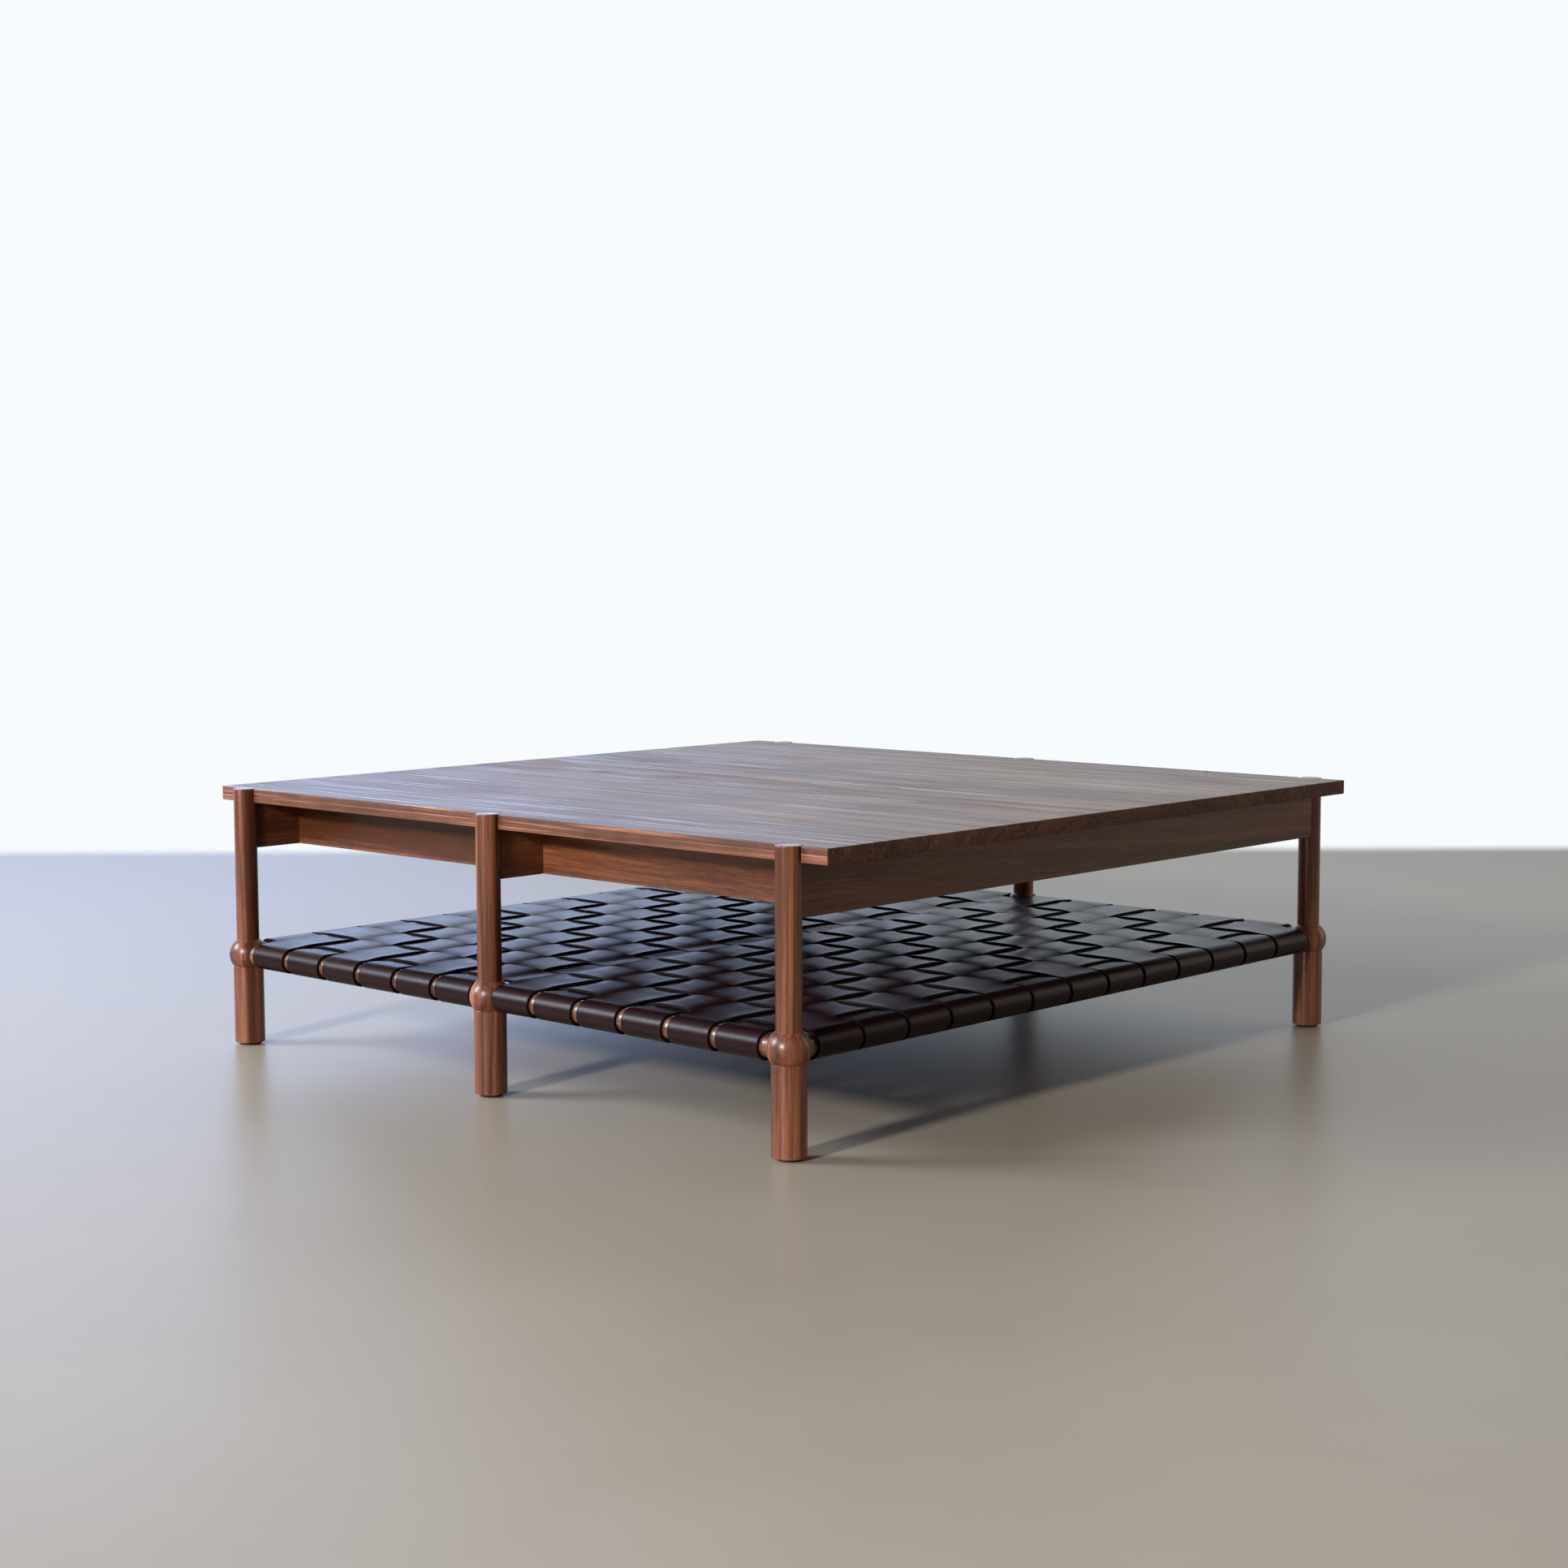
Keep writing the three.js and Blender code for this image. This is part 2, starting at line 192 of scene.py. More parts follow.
# How finely the round forms are divided.
LEG_SIDES = 96
BALL_STEPS = 40
GROOVE_STEPS = 7
GLIDE_SIDES = 48
NOTCH_STEPS = 40
ROUND_STEPS = 5
RAIL_SIDES = 64
SCREW_SIDES = 32
STRAP_STEPS = 12
WRAP_STEPS = 22
CUP_STEPS = 9

# Innermost ring on the end of a bar, as a share of its outline.
CAP_START = 0.15

# Rings of a screw's head, from the bottom of its socket to inside the wood: share of the radius,
# height above the wood's lower face, and whether the ring is square like the socket.
SCREW_RINGS = (
    (0.30, 0.0005, True),
    (0.36, -0.0007, True),
    (0.60, -0.00065, False),
    (0.85, -0.0004, False),
    (1.00, 0.0, False),
    (0.60, 0.0012, False),
)

# Where a wrap ends, in degrees about its rail, how the crowns of the straps differ, and how far
# below its highest point a strap is still rubbed.
WRAP_START = -120.0
CROWN_SPREAD = (1.0, 1.15)
RUB_DEPTH = 0.003


def length(name, description, default):
    """A length property in metres."""
    return FloatProperty(
        name=name, description=description, default=default, min=0.0, unit="LENGTH", precision=5
    )


def share(name, description, default):
    """A share from nought to one."""
    return FloatProperty(name=name, description=description, default=default, min=0.0, max=1.0)


def colour(name, description, default):
    """A linear colour property."""
    return FloatVectorProperty(
        name=name, description=description, default=default, subtype="COLOR", min=0.0, max=1.0
    )


class TableSizes(PropertyGroup):
    """Sizes of the table's pieces that a user may change."""

    top_arris: length("Top arris", "Radius of the eased edge round the top", 0.0012)
    top_corner: length("Top corner", "Radius of the top's four upright corners", 0.002)
    notch_reveal: length("Notch reveal", "Gap between a leg and its notch in the top", 0.002)
    lower_leg: length("Lower leg radius", "Radius of a leg below its ball", 0.022)
    upper_leg: length("Upper leg radius", "Radius of a leg above its ball", 0.0165)
    ball: length("Ball radius", "Radius of the ball on a leg", 0.0276)
    ball_height: length("Ball height", "Height of the balls' centres", 0.135)
    collar: length("Collar radius", "Radius where the ball meets the upper leg", 0.018)
    groove_width: length("Groove width", "Width of the turned groove beside a ball", 0.0016)
    groove_depth: length("Groove depth", "Depth of the turned groove beside a ball", 0.0007)
    leg_round: length("Leg end round", "Radius of the eased ends of a leg", 0.0011)
    beam_round: length("Beam edge round", "Radius of the eased edges of beams and rails", 0.0014)
    button_round: length("Button edge round", "Radius of the eased edges of the buttons", 0.0008)
    guard: length("Guard", "Flat margin next to an eased edge", 0.0025)
    fit: length("Fit", "Gap between a beam and the leg it meets", 0.0003)
    shelf_rail: length("Shelf rail radius", "Radius of the round rails of the shelf", 0.0147)
    strap: length("Strap thickness", "Thickness of the leather", 0.0036)
    weave_sink: length("Weave sink", "Fall from the tops of the wraps to the weave's middle", 0.0012)
    strap_lift: length("Strap lift", "How far off the weave's middle a strap starts to dive", 0.0004)
    strap_crown: length("Strap crown", "Further rise of a strap in the middle of a square", 0.0021)
    strap_cup: length("Strap cup", "Rise of a strap's edges in the middle of a square", 0.0009)
    strap_cup_end: length("Strap cup at ends", "Rise of its edges at the ends of a square", 0.0015)
    strap_level: share("Level start", "Share of the dive that a strap keeps beside a rail", 0.2)
    strap_round: length("Strap edge round", "Radius of the rounded edges of the leather", 0.0009)
    strap_play: length("Strap play", "Gap between a strap and the rail it wraps", 0.0003)
    shelf_tenon: length("Shelf tenon radius", "Radius of the tenons of the round rails", 0.0095)
    button_tongue: length("Button tongue", "Thickness of a button's tongue", 0.009)
    screw: length("Screw radius", "Radius of the head of a button's screw", 0.004)


class TableFinishes(PropertyGroup):
    """Colours and strengths of the table's finishes that a user may change."""

    walnut_dark: colour("Dark walnut", "Darkest wood", (0.075, 0.023, 0.0095))
    walnut_middle: colour("Middle walnut", "Most of the wood", (0.212, 0.074, 0.039))
    walnut_light: colour("Light walnut", "Palest streaks of the wood", (0.388, 0.173, 0.098))
    face_tint: colour("Face tint", "Share of its colour that the top's face keeps", (0.69, 0.91, 0.90))
    leather: colour("Leather", "Face of the straps", (0.0120, 0.0034, 0.0041))
    leather_edge: colour("Leather edge", "Burnished edges of the straps", (0.0018, 0.0015, 0.0018))
    pad: colour("Pad", "Pads under the legs", (0.012, 0.011, 0.010))
    steel: colour("Steel", "Screws under the top", (0.42, 0.40, 0.37))
    floor: colour("Floor", "Plain floor of the stage", (0.298, 0.250, 0.186))
    backdrop: colour("Backdrop", "Pale surroundings of the stage", (0.93, 0.965, 1.0))
    haze: colour("Haze", "Light of the surroundings", (0.84, 0.92, 1.0))
    bounce: colour("Bounce", "Dim light from all round", (0.045, 0.040, 0.036))
    glow: colour("Glow", "Cold glow low in the backdrop", (0.32, 0.49, 1.0))
    wood_roughness: share("Wood roughness", "Roughness of the oiled wood", 0.30)
    wood_sheen: share("Wood sheen", "Specular level of the oiled wood", 0.5)
    leather_roughness: share("Leather roughness", "Roughness of the leather", 0.36)
    leather_sheen: share("Leather sheen", "Specular level of the leather", 0.13)


# Places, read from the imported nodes.

def corners_of(node):
    """Lowest and highest corner of a node, as arrays."""
    low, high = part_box(node)
    return np.array(low), np.array(high)


def middle_of(node):
    """Middle of a node's box."""
    low, high = corners_of(node)
    return (low + high) / 2


def nodes_named(start):
    """Names of the nodes that begin so, in order."""
    return sorted(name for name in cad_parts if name.startswith(start))


def leg_place(leg):
    """The point on the floor under a leg, which is the middle of its glide."""
    place = middle_of(leg.replace("leg_", "glide_"))
    place[Z] = 0.0
    return place


# Shapes: points worked out as whole arrays.

def arc(radius, angles):
    """Points on a circle: radius times cosine and sine of each angle."""
    return radius * np.stack([np.cos(angles), np.sin(angles)], axis=-1)


def quarter(radius, start):
    """A quarter circle from a start angle in degrees."""
    return arc(radius, np.radians(np.linspace(start, start + 90.0, ROUND_STEPS)))


def dip(start, end, low, width, depth):
    """A shallow round groove in a turned profile, between two radii.

    The radius goes evenly from one to the other, less depth times a sine over half a turn.
    """
    part = np.linspace(0.0, 1.0, GROOVE_STEPS)
    radius = start + (end - start) * part - depth * np.sin(math.pi * part)
    return np.stack([radius, low + width * part], axis=-1)


def on_axes(axis, along, first, second):
    """Points from their part along an axis and those on the next two axes, taken in turn."""
    parts = np.broadcast_arrays(along, first, second)
    return np.stack([parts[(place - axis) % 3] for place in (X, Y, Z)], axis=-1)


def turned(profile, place, axis=Z, sides=LEG_SIDES):
    """A surface of revolution: a profile of (radius, distance along the axis) carried round it.

    The point is place plus radius times cosine and sine on the two other axes.
    """
    angles = np.linspace(0.0, 2.0 * math.pi, sides, endpoint=False)
    radius, along = profile.T[..., None]
    return on_axes(axis, along, radius * np.cos(angles), radius * np.sin(angles)) + place


def eased_outline(corners, radius, guard):
    """A right-angled outline with rounded corners, and how much each point lies on a corner.

    With a and b the directions from a corner to its neighbours, the round is
    corner + radius * (a + b) - radius * (b * cosine + a * sine). A point follows on each side of
    it, a guard further on, so that what the corner carries stops there: on wood, wear with a painted
    highlight, and on leather, the black edge, which fades onto the faces as painted shade.
    """
    corners = np.asarray(corners, float)
    back = np.roll(corners, 1, axis=0) - corners
    on = np.roll(corners, -1, axis=0) - corners
    back /= np.linalg.norm(back, axis=1, keepdims=True)
    on /= np.linalg.norm(on, axis=1, keepdims=True)
    angles = np.radians(np.linspace(0.0, 90.0, ROUND_STEPS))[None, :, None]
    middle = (corners + radius * (back + on))[:, None]
    arcs = middle - radius * (on[:, None] * np.cos(angles) + back[:, None] * np.sin(angles))
    before = (corners + (radius + guard) * back)[:, None]
    after = (corners + (radius + guard) * on)[:, None]
    outline = np.concatenate([before, arcs, after], axis=1)
    worn = np.ones(outline.shape[:2])
    worn[:, [0, -1]] = 0.0
    return outline.reshape(-1, 2), worn.reshape(-1)


def rectangle(width, height):
    """Corners of a rectangle about the origin, counterclockwise."""
    return np.array([[-1, -1], [1, -1], [1, 1], [-1, 1]]) * np.array([width, height]) / 2


def carried(outline, axis, middle, reach, cap_rings=4):
    """A straight bar: an outline carried along an axis, with its ends at reach(outline) either way.

    The body's rings lie at the outline times 1, and the ends close with rings of the outline times
    a falling share, each point at the reach of its own place, so a scribed end stays hollow.
    """
    shares = np.linspace(CAP_START, 1.0, cap_rings)
    loops = np.concatenate([outline * shares[:, None, None], outline * shares[::-1, None, None]])
    signs = np.repeat([-1.0, 1.0], cap_rings)[:, None]
    return on_axes(axis, signs * reach(loops), loops[..., 0], loops[..., 1]) + middle


# Meshes and pieces.

def side_quads(rings):
    """Numbers of the points of rings, those of their neighbours, and the quads between rings."""
    count, around = rings.shape[:2]
    index = np.arange(count * around).reshape(count, around)
    after = np.roll(index, -1, axis=1)
    sides = np.stack([index[:-1], after[:-1], after[1:], index[1:]], axis=-1).reshape(-1, 4)
    return index, after, sides.tolist()


def closed_skin(rings):
    """Points and faces of a closed skin over rings of points, each end closed to its middle point.

    The rings turn counterclockwise seen from where they are carried to, so the faces point out.
    """
    index, after, sides = side_quads(rings)
    start = np.full(len(index[0]), index.size)
    first = np.stack([after[0], index[0], start], axis=-1)
    last = np.stack([index[-1], after[-1], start + 1], axis=-1)
    points = np.vstack([rings.reshape(-1, 3), rings[0].mean(axis=0), rings[-1].mean(axis=0)])
    return points, sides + first.tolist() + last.tolist()


def with_ends(values):
    """Values on a grid of rings as one row, with those of the two middle points at its end."""
    grid = np.asarray(values, float)
    ends = np.stack([grid[0].mean(axis=0), grid[-1].mean(axis=0)])
    return np.concatenate([grid.reshape(-1, *grid.shape[2:]), ends])


def add_object(name, data):
    """Puts a new object with a mesh, light or camera in the scene."""
    added = bpy.data.objects.new(name, data)
    bpy.context.scene.collection.objects.link(added)
    return added


def add_mesh(name, points, faces, attributes, finish, sharp=35.0):
    """Makes a mesh object at the origin, with point attributes of numbers or vectors."""
    mesh = bpy.data.meshes.new(name)
    mesh.from_pydata(points.tolist(), [], faces)
    for attribute, values in attributes.items():
        many = values.ndim == 2
        layer = mesh.attributes.new(attribute, "FLOAT_VECTOR" if many else "FLOAT", "POINT")
        layer.data.foreach_set("vector" if many else "value", values.astype(np.float32).ravel())
    mesh.materials.append(finish)
    mesh.shade_smooth()
    mesh.set_sharp_from_angle(angle=math.radians(sharp))
    return add_object(name, mesh)


def stand_for(piece, node):
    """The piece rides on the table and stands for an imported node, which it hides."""
    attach(piece, "root")
    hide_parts(node)


def log_grain(points, axis, middle, seed, heart=(0.045, 0.09), slant=0.05, rolls=(0.0, 360.0)):
    """Coordinates in the log that a piece was sawn from: x along the grain, y and z from the heart.

    The piece's own place in the log, its roll in degrees and its lean are random, within limits,
    and fixed by the seed.
    """
    random = np.random.default_rng(seed)
    along, across, up = np.roll(points - middle, -axis, axis=1).T
    roll = math.radians(random.uniform(*rolls))
    from_heart = random.uniform(*heart)
    lean = random.uniform(-slant, slant, size=2)
    y = across * math.cos(roll) - up * math.sin(roll) + from_heart + lean[0] * along
    z = across * math.sin(roll) + up * math.cos(roll) + lean[1] * along
    return np.stack([along + LOG_STEP * seed, y, z], axis=-1)


def add_walnut(node, ending, slot, rings, worn, finish, axis, seed, **log):
    """A closed walnut piece over rings, with its place in the log, its edge share for wear and a
    painted highlight, and the node's tone, painted light and shade for some pieces.
    """
    points, faces = closed_skin(rings)
    attributes = {
        "grain": log_grain(points, axis, middle_of(node), seed, **log),
        "worn": with_ends(np.broadcast_to(worn, rings.shape[:2])),
        # For some pieces this tone is painted light and shade: darker cross beams, lighter front right
        # and rear right legs.
        "tone": np.full(len(points), TONES_AND_PAINTED_LIGHT.get(node, 0.0)),
    }
    piece = add_mesh(f"{node}_{ending}", points, faces, attributes, finish)
    stand_for(piece, node)


# Shader maths.

def joined(operation, reflected=False):
    """An operator of a wire that adds one node for the wire and the other value."""
    def operator(wire, other):
        values = (other, wire) if reflected else (wire, other)
        return wire.join(operation, *values)

    return operator


class Wire:
    """One output socket. Arithmetic adds Math nodes, or Vector Math nodes where it carries more."""

    def __init__(self, finish, socket):
        self.finish = finish
        self.socket = socket

    def join(self, operation, *values):
        """A Math node on the values, or a Vector Math node where one is a vector or colour."""
        wide = any(isinstance(v, tuple) or (isinstance(v, Wire) and v.is_wide()) for v in values)
        kind = "ShaderNodeVectorMath" if wide else "ShaderNodeMath"
        return self.finish.node(kind, {"operation": operation}, dict(enumerate(values)))

    def is_wide(self):
        """Whether it carries a vector or a colour."""
        return self.socket.type in {"VECTOR", "RGBA"}

    __add__ = joined("ADD")
    __radd__ = joined("ADD", reflected=True)
    __sub__ = joined("SUBTRACT")
    __rsub__ = joined("SUBTRACT", reflected=True)
    __mul__ = joined("MULTIPLY")
    __rmul__ = joined("MULTIPLY", reflected=True)
    __truediv__ = joined("DIVIDE")
    __pow__ = joined("POWER")
    __gt__ = joined("GREATER_THAN")

    def part(self):
        """A number's part after the decimal point."""
        return self.join("FRACT", self)

    def size(self):
        """A vector's length."""
        return self.finish.node("ShaderNodeVectorMath", {"operation": "LENGTH"}, {0: self}, "Value")

    def between(self, low, high):
        """Nought below low, one above high and a smooth rise between."""
        settings = {"interpolation_type": "SMOOTHSTEP"}
        inputs = {"Value": self, "From Min": low, "From Max": high}
        return self.finish.node("ShaderNodeMapRange", settings, inputs)


class Finish:
    """The nodes of a new material or world, the one shader that they feed, and the user's looks."""

    def __init__(self, owner, shader="Principled BSDF"):
        owner.use_nodes = True
        self.look = bpy.context.scene.table_finishes
        self.nodes = owner.node_tree.nodes
        self.links = owner.node_tree.links
        self.shader = self.nodes[shader]

    def node(self, kind, settings=None, inputs=None, output=0):
        """Adds a node of that kind, sets its settings, feeds its inputs and returns one output."""
        added = self.nodes.new(kind)
        for name, value in (settings or {}).items():
            if name == "stops":
                self._set_stops(added.color_ramp, value)
            else:
                setattr(added, name, value)
        for key, value in (inputs or {}).items():
            self.feed(added.inputs[key], value)
        return Wire(self, added.outputs[output])

    def feed(self, socket, value):
        """Links a wire to a socket, or sets the socket to a plain value."""
        if isinstance(value, Wire):
            self.links.new(value.socket, socket)
        elif socket.type == "VECTOR" and not isinstance(value, tuple):
            socket.default_value = (value, value, value)
        elif socket.type == "RGBA":
            socket.default_value = (*value, 1.0)
        else:
            socket.default_value = value

    def _set_stops(self, ramp, stops):
        """Gives a colour ramp its stops."""
        while len(ramp.elements) < len(stops):
            ramp.elements.new(0.5)
        for element, (position, shade) in zip(ramp.elements, stops):
            element.position = position
            element.color = (*shade, 1.0)

    def place(self):
        """Object coordinates, which are the table's own metres."""
        return self.node("ShaderNodeTexCoord", output="Object")

    def dot(self, place, direction):
        """The dot product of a place or direction with a fixed direction."""
        settings = {"operation": "DOT_PRODUCT"}
        return self.node("ShaderNodeVectorMath", settings, {0: place, 1: direction}, "Value")

    def distance(self, value, goal):
        """How far a number is from a goal."""
        return self.node("ShaderNodeMath", {"operation": "ABSOLUTE"}, {0: value - goal})

    def attribute(self, name, output="Fac"):
        """A number or, with output Vector, a vector kept on the mesh."""
        return self.node("ShaderNodeAttribute", {"attribute_name": name}, output=output)

    def noise(self, place, detail=2.0, rough=0.5, output="Fac"):
        """Noise with cells about one unit wide, at a place that is already scaled."""
        inputs = {"Vector": place, "Scale": 1.0, "Detail": detail, "Roughness": rough}
        return self.node("ShaderNodeTexNoise", None, inputs, output)

    def noise_along(self, value, detail=1.0):
        """Noise along one number."""
        inputs = {"W": value, "Scale": 1.0, "Detail": detail}
        return self.node("ShaderNodeTexNoise", {"noise_dimensions": "1D"}, inputs)

    def mix(self, factor, first, second):
        """A mix of two colours."""
        inputs = {0: factor, 6: first, 7: second}
        return self.node("ShaderNodeMix", {"data_type": "RGBA"}, inputs, 2)

    def bump(self, height, distance, strength=1.0, normal=None):
        """A bump of a given height in metres, on top of another bump if there is one."""
        inputs = {"Strength": strength, "Distance": distance, "Height": height}
        if normal is not None:
            inputs["Normal"] = normal
        return self.node("ShaderNodeBump", None, inputs)

    def shade(self, **values):
        """Feeds the Principled shader, with spaces for the underscores of the names."""
        for name, value in values.items():
            socket = name.replace("_", " ").title().replace("Ior", "IOR")
            self.feed(self.shader.inputs[socket], value)


# Finishes.

def scaled(shade, times):
    """A colour times a number."""
    return tuple(times * part for part in shade)


def walnut_from(finish, grain, tone_shift=0.0, ring=0.0052, figure_share=0.5, spread=1.9,
                streaks=0.85):
    """Oiled walnut from coordinates in the log.

    The distance from the heart, swayed by two noises, counts the growth rings. Each ring ends in a
    fine dark line, broad bands follow groups of rings, long noise gives the figure, narrow noise
    the streaks, and short fine noise the fibres and pores.
    """
    look = finish.look
    sway = finish.noise(grain * CELLS["sway"], 1.5, output="Color") - 0.5
    flutter = finish.noise(grain * CELLS["flutter"], 1.0, output="Color") - 0.5
    swayed = grain + sway * SWAY_REACH + flutter * FLUTTER_REACH
    count = (swayed * ACROSS_GRAIN).size() / ring
    late = (count + finish.noise_along(count * 0.7) * 1.6).part() ** 3.0
    band = finish.noise_along(count * 0.33, 2.0)
    figure = finish.noise(grain * CELLS["figure"], 2.5, 0.55)
    fibre = finish.noise(grain * CELLS["fibre"], 2.0, 0.6)
    pores = finish.noise(grain * CELLS["pores"], 1.0).between(0.60, 0.72)
    streak = finish.noise(grain * CELLS["streak"], 2.0, 0.6)
    tone = band * (1.0 - figure_share) + figure * figure_share - 0.5
    tone = tone * spread + (streak - 0.5) * streaks + (fibre - 0.5) * 0.45 + 0.5 + tone_shift
    stops = [
        (0.22, look.walnut_dark),
        (0.46, look.walnut_middle),
        (0.62, tuple(0.6 * m + 0.4 * c for m, c in zip(look.walnut_middle, look.walnut_light))),
        (0.86, look.walnut_light),
    ]
    wood = finish.node("ShaderNodeValToRGB", {"stops": stops}, {"Fac": tone})
    wood = finish.mix(late * 0.5, wood, look.walnut_dark)
    wood = finish.mix(pores * 0.6, wood, scaled(look.walnut_dark, 0.4))
    return wood, late, fibre, pores


def oiled(finish, wood, late, fibre, pores, worn, rough_shift=0.0):
    """Feeds the shader with wood that is paler and smoother along its edges: rubbed paler as wear, and
    partly a painted highlight along the eased edges.
    """
    look = finish.look
    # Paler, smoother edges: rubbed paler as wear, and partly a painted highlight on the eased edges.
    rubbed_and_highlit = worn * finish.noise(finish.place() * CELLS["wear"], 2.0).between(0.25, 0.75)
    smear = finish.noise(finish.place() * CELLS["smear"], 3.0)
    wood = finish.mix(rubbed_and_highlit * 0.30, wood, look.walnut_light)
    rough = look.wood_roughness + rough_shift + pores * 0.14 + (smear - 0.5) * 0.14 - rubbed_and_highlit * 0.08
    depth = fibre * 0.35 - pores * 0.8 - late * 0.12
    finish.shade(
        base_color=wood,
        roughness=rough,
        normal=finish.bump(depth, WOOD_RELIEF, 0.7),
        specular_ior_level=look.wood_sheen,
    )


def make_walnut(finish, tone_shift=0.0, tint=(1.0, 1.0, 1.0), **figure):
    """Walnut for a piece that carries its own log coordinates, times a tint."""
    grain = finish.attribute("grain", "Vector")
    tone = finish.attribute("tone") + tone_shift
    wood, late, fibre, pores = walnut_from(finish, grain, tone, **figure)
    oiled(finish, wood * tint, late, fibre, pores, finish.attribute("worn"))


def make_board_walnut(finish):
    """Walnut of the glued-up top: the place across the boards picks the board.

    Each joint passed adds one to the board's number, and white noise of the number moves the log
    coordinates, so the grain breaks off at each joint. Each board has its own tone, and fine pale
    streaks run along it. The two faces are greyer than the edges, whose wear carries a painted
    highlight, and the end grain is darker and duller, partly its own colour and partly painted shade
    that keeps the lit ends dark. A fine dark line lies at each joint.
    """
    look = finish.look
    here = finish.place()
    across = finish.node("ShaderNodeSeparateXYZ", None, {0: here}, "Y")
    number = sum(across > joint for joint in BOARD_JOINTS)
    settings = {"noise_dimensions": "1D"}
    chance = finish.node("ShaderNodeTexWhiteNoise", settings, {"W": number + 0.5}, "Color")
    steps = [after - before for before, after in zip(BOARD_TONES, BOARD_TONES[1:])]
    tone = sum((across > joint) * step for joint, step in zip(BOARD_JOINTS, steps)) + BOARD_TONES[0]
    grain = here + chance * BOARD_SHIFT + BOARD_FROM_HEART
    wood, late, fibre, pores = walnut_from(finish, grain, tone, **BOARDS)
    silver = finish.noise(grain * CELLS["silver"], 2.0).between(0.54, 0.70)
    wood = finish.mix(silver * 0.8, wood, scaled(look.walnut_light, 1.3))
    worn = finish.attribute("worn")
    wood = finish.mix(worn, wood * tuple(look.face_tint), wood)
    end = finish.attribute("end")
    # End grain darker: its own colour, and painted shade that keeps the lit ends dark.
    wood = finish.mix(end * 0.8, wood, wood * 0.25)
    shine = 0.10 - silver * 0.20 + late * 0.12 + tone * 0.15 + end * 0.35
    away = 1.0
    for joint in BOARD_JOINTS:
        away = away * finish.distance(across, joint).between(*JOINT_LINE)
    wood = finish.mix((1.0 - away) * 0.6, wood, JOINT_SHADE)
    oiled(finish, wood, late, fibre, pores, worn * 0.3, shine)


def make_leather(finish):
    """Smooth strap leather in coordinates along and across each strap.

    A fine noise gives the grain and a broad one the unevenness of the hide. Its highest parts are
    rubbed a little paler, and the edges are burnished dull black, which fades a guard's width onto
    the faces as painted shade.
    """
    look = finish.look
    hide = finish.attribute("hide", "Vector")
    edge = finish.attribute("edge")
    rub = finish.attribute("rub")
    pebble = finish.noise(hide * CELLS["pebble"], 2.0, 0.6)
    mottle = finish.noise(hide * CELLS["mottle"], 3.0, 0.6)
    shade = finish.mix(mottle.between(0.3, 0.75) * 0.6, look.leather, scaled(look.leather, 1.5))
    shade = finish.mix(rub * mottle * 0.25, shade, scaled(look.leather, 1.6))
    # Burnished black edges; the black fades a guard's width onto the faces as painted shade.
    shade = finish.mix(edge, shade, look.leather_edge)
    rough = look.leather_roughness + (mottle - 0.5) * 0.16 + (pebble - 0.5) * 0.08 - rub * 0.03
    fine = finish.bump(pebble, PEBBLE_RELIEF, 0.5)
    finish.shade(
        base_color=shade,
        roughness=rough + edge * 0.45,
        normal=finish.bump(mottle, MOTTLE_RELIEF, 0.45, fine),
        specular_ior_level=look.leather_sheen,
    )


def make_pad(finish):
    """Matt felt: a fine noise in colour and height."""
    pad = finish.look.pad
    fuzz = finish.noise(finish.place() * CELLS["fuzz"], 3.0, 0.7)
    finish.shade(
        base_color=finish.mix(fuzz, pad, scaled(pad, 2.5)),
        roughness=0.85 + fuzz * 0.1,
        normal=finish.bump(fuzz, FELT_RELIEF),
    )


def make_steel(finish):
    """Zinc-plated steel with dull patches."""
    steel = finish.look.steel
    patch = finish.noise(finish.place() * CELLS["patch"], 3.0, 0.6)
    finish.shade(
        base_color=finish.mix(patch * 0.5, steel, scaled(steel, 0.5)),
        roughness=0.28 + patch * 0.25,
        metallic=1.0,
        normal=finish.bump(patch, STEEL_RELIEF, 0.5),
    )


def make_floor(finish):
    """A plain smooth floor with a faint unevenness, which fades into the backdrop.

    It fades across a straight line behind the table, and in a ring further out on all sides.
    """
    here = finish.place()
    cloud = finish.noise(here * CELLS["cloud"], 5.0, 0.6)
    behind = finish.dot(here, WALL_TOWARDS)
    finish.shade(
        base_color=finish.mix(cloud * 0.14, finish.look.floor, (1.0, 0.98, 0.95)),
        roughness=0.32 + cloud * 0.08,
        specular_ior_level=0.25,
        alpha=(1.0 - here.size().between(*ROUND_FADE)) * (1.0 - behind.between(*WALL_FADE)),
    )


def finish_of(name, maker, **settings):
    """The material of that name, which its maker fills with nodes the first time."""
    material = bpy.data.materials.get(name)
    if material is None:
        material = bpy.data.materials.new(name)
        maker(Finish(material), **settings)
    return material


# Table top.

def top_half_outline(inset, sizes, corner):
    """The front half of the top's outline at an inset, from one front corner to the other.

    Corners are quarter circles. A notch is the arc of a circle round its leg, whose radius grows
    with the inset: leg + radius * (cosine, sine), between the two angles where it meets the edge.
    """
    half_x, half_y = corners_of("table_top")[1][:2] - inset
    corner = max(corner - inset, corner / 8)
    first = quarter(corner, 180.0) + (corner - half_x, corner - half_y)
    last = quarter(corner, 270.0) + (half_x - corner, corner - half_y)
    notches = []
    for leg in ("leg_front_left", "leg_front_middle", "leg_front_right"):
        centre = leg_place(leg)
        radius = sizes.upper_leg + sizes.notch_reveal + inset
        reach = math.asin((-half_y - centre[Y]) / radius)
        angles = np.linspace(math.pi - reach, reach, NOTCH_STEPS)
        notches.append(arc(radius, angles) + centre[:2])
    return np.vstack([first, *notches, last])


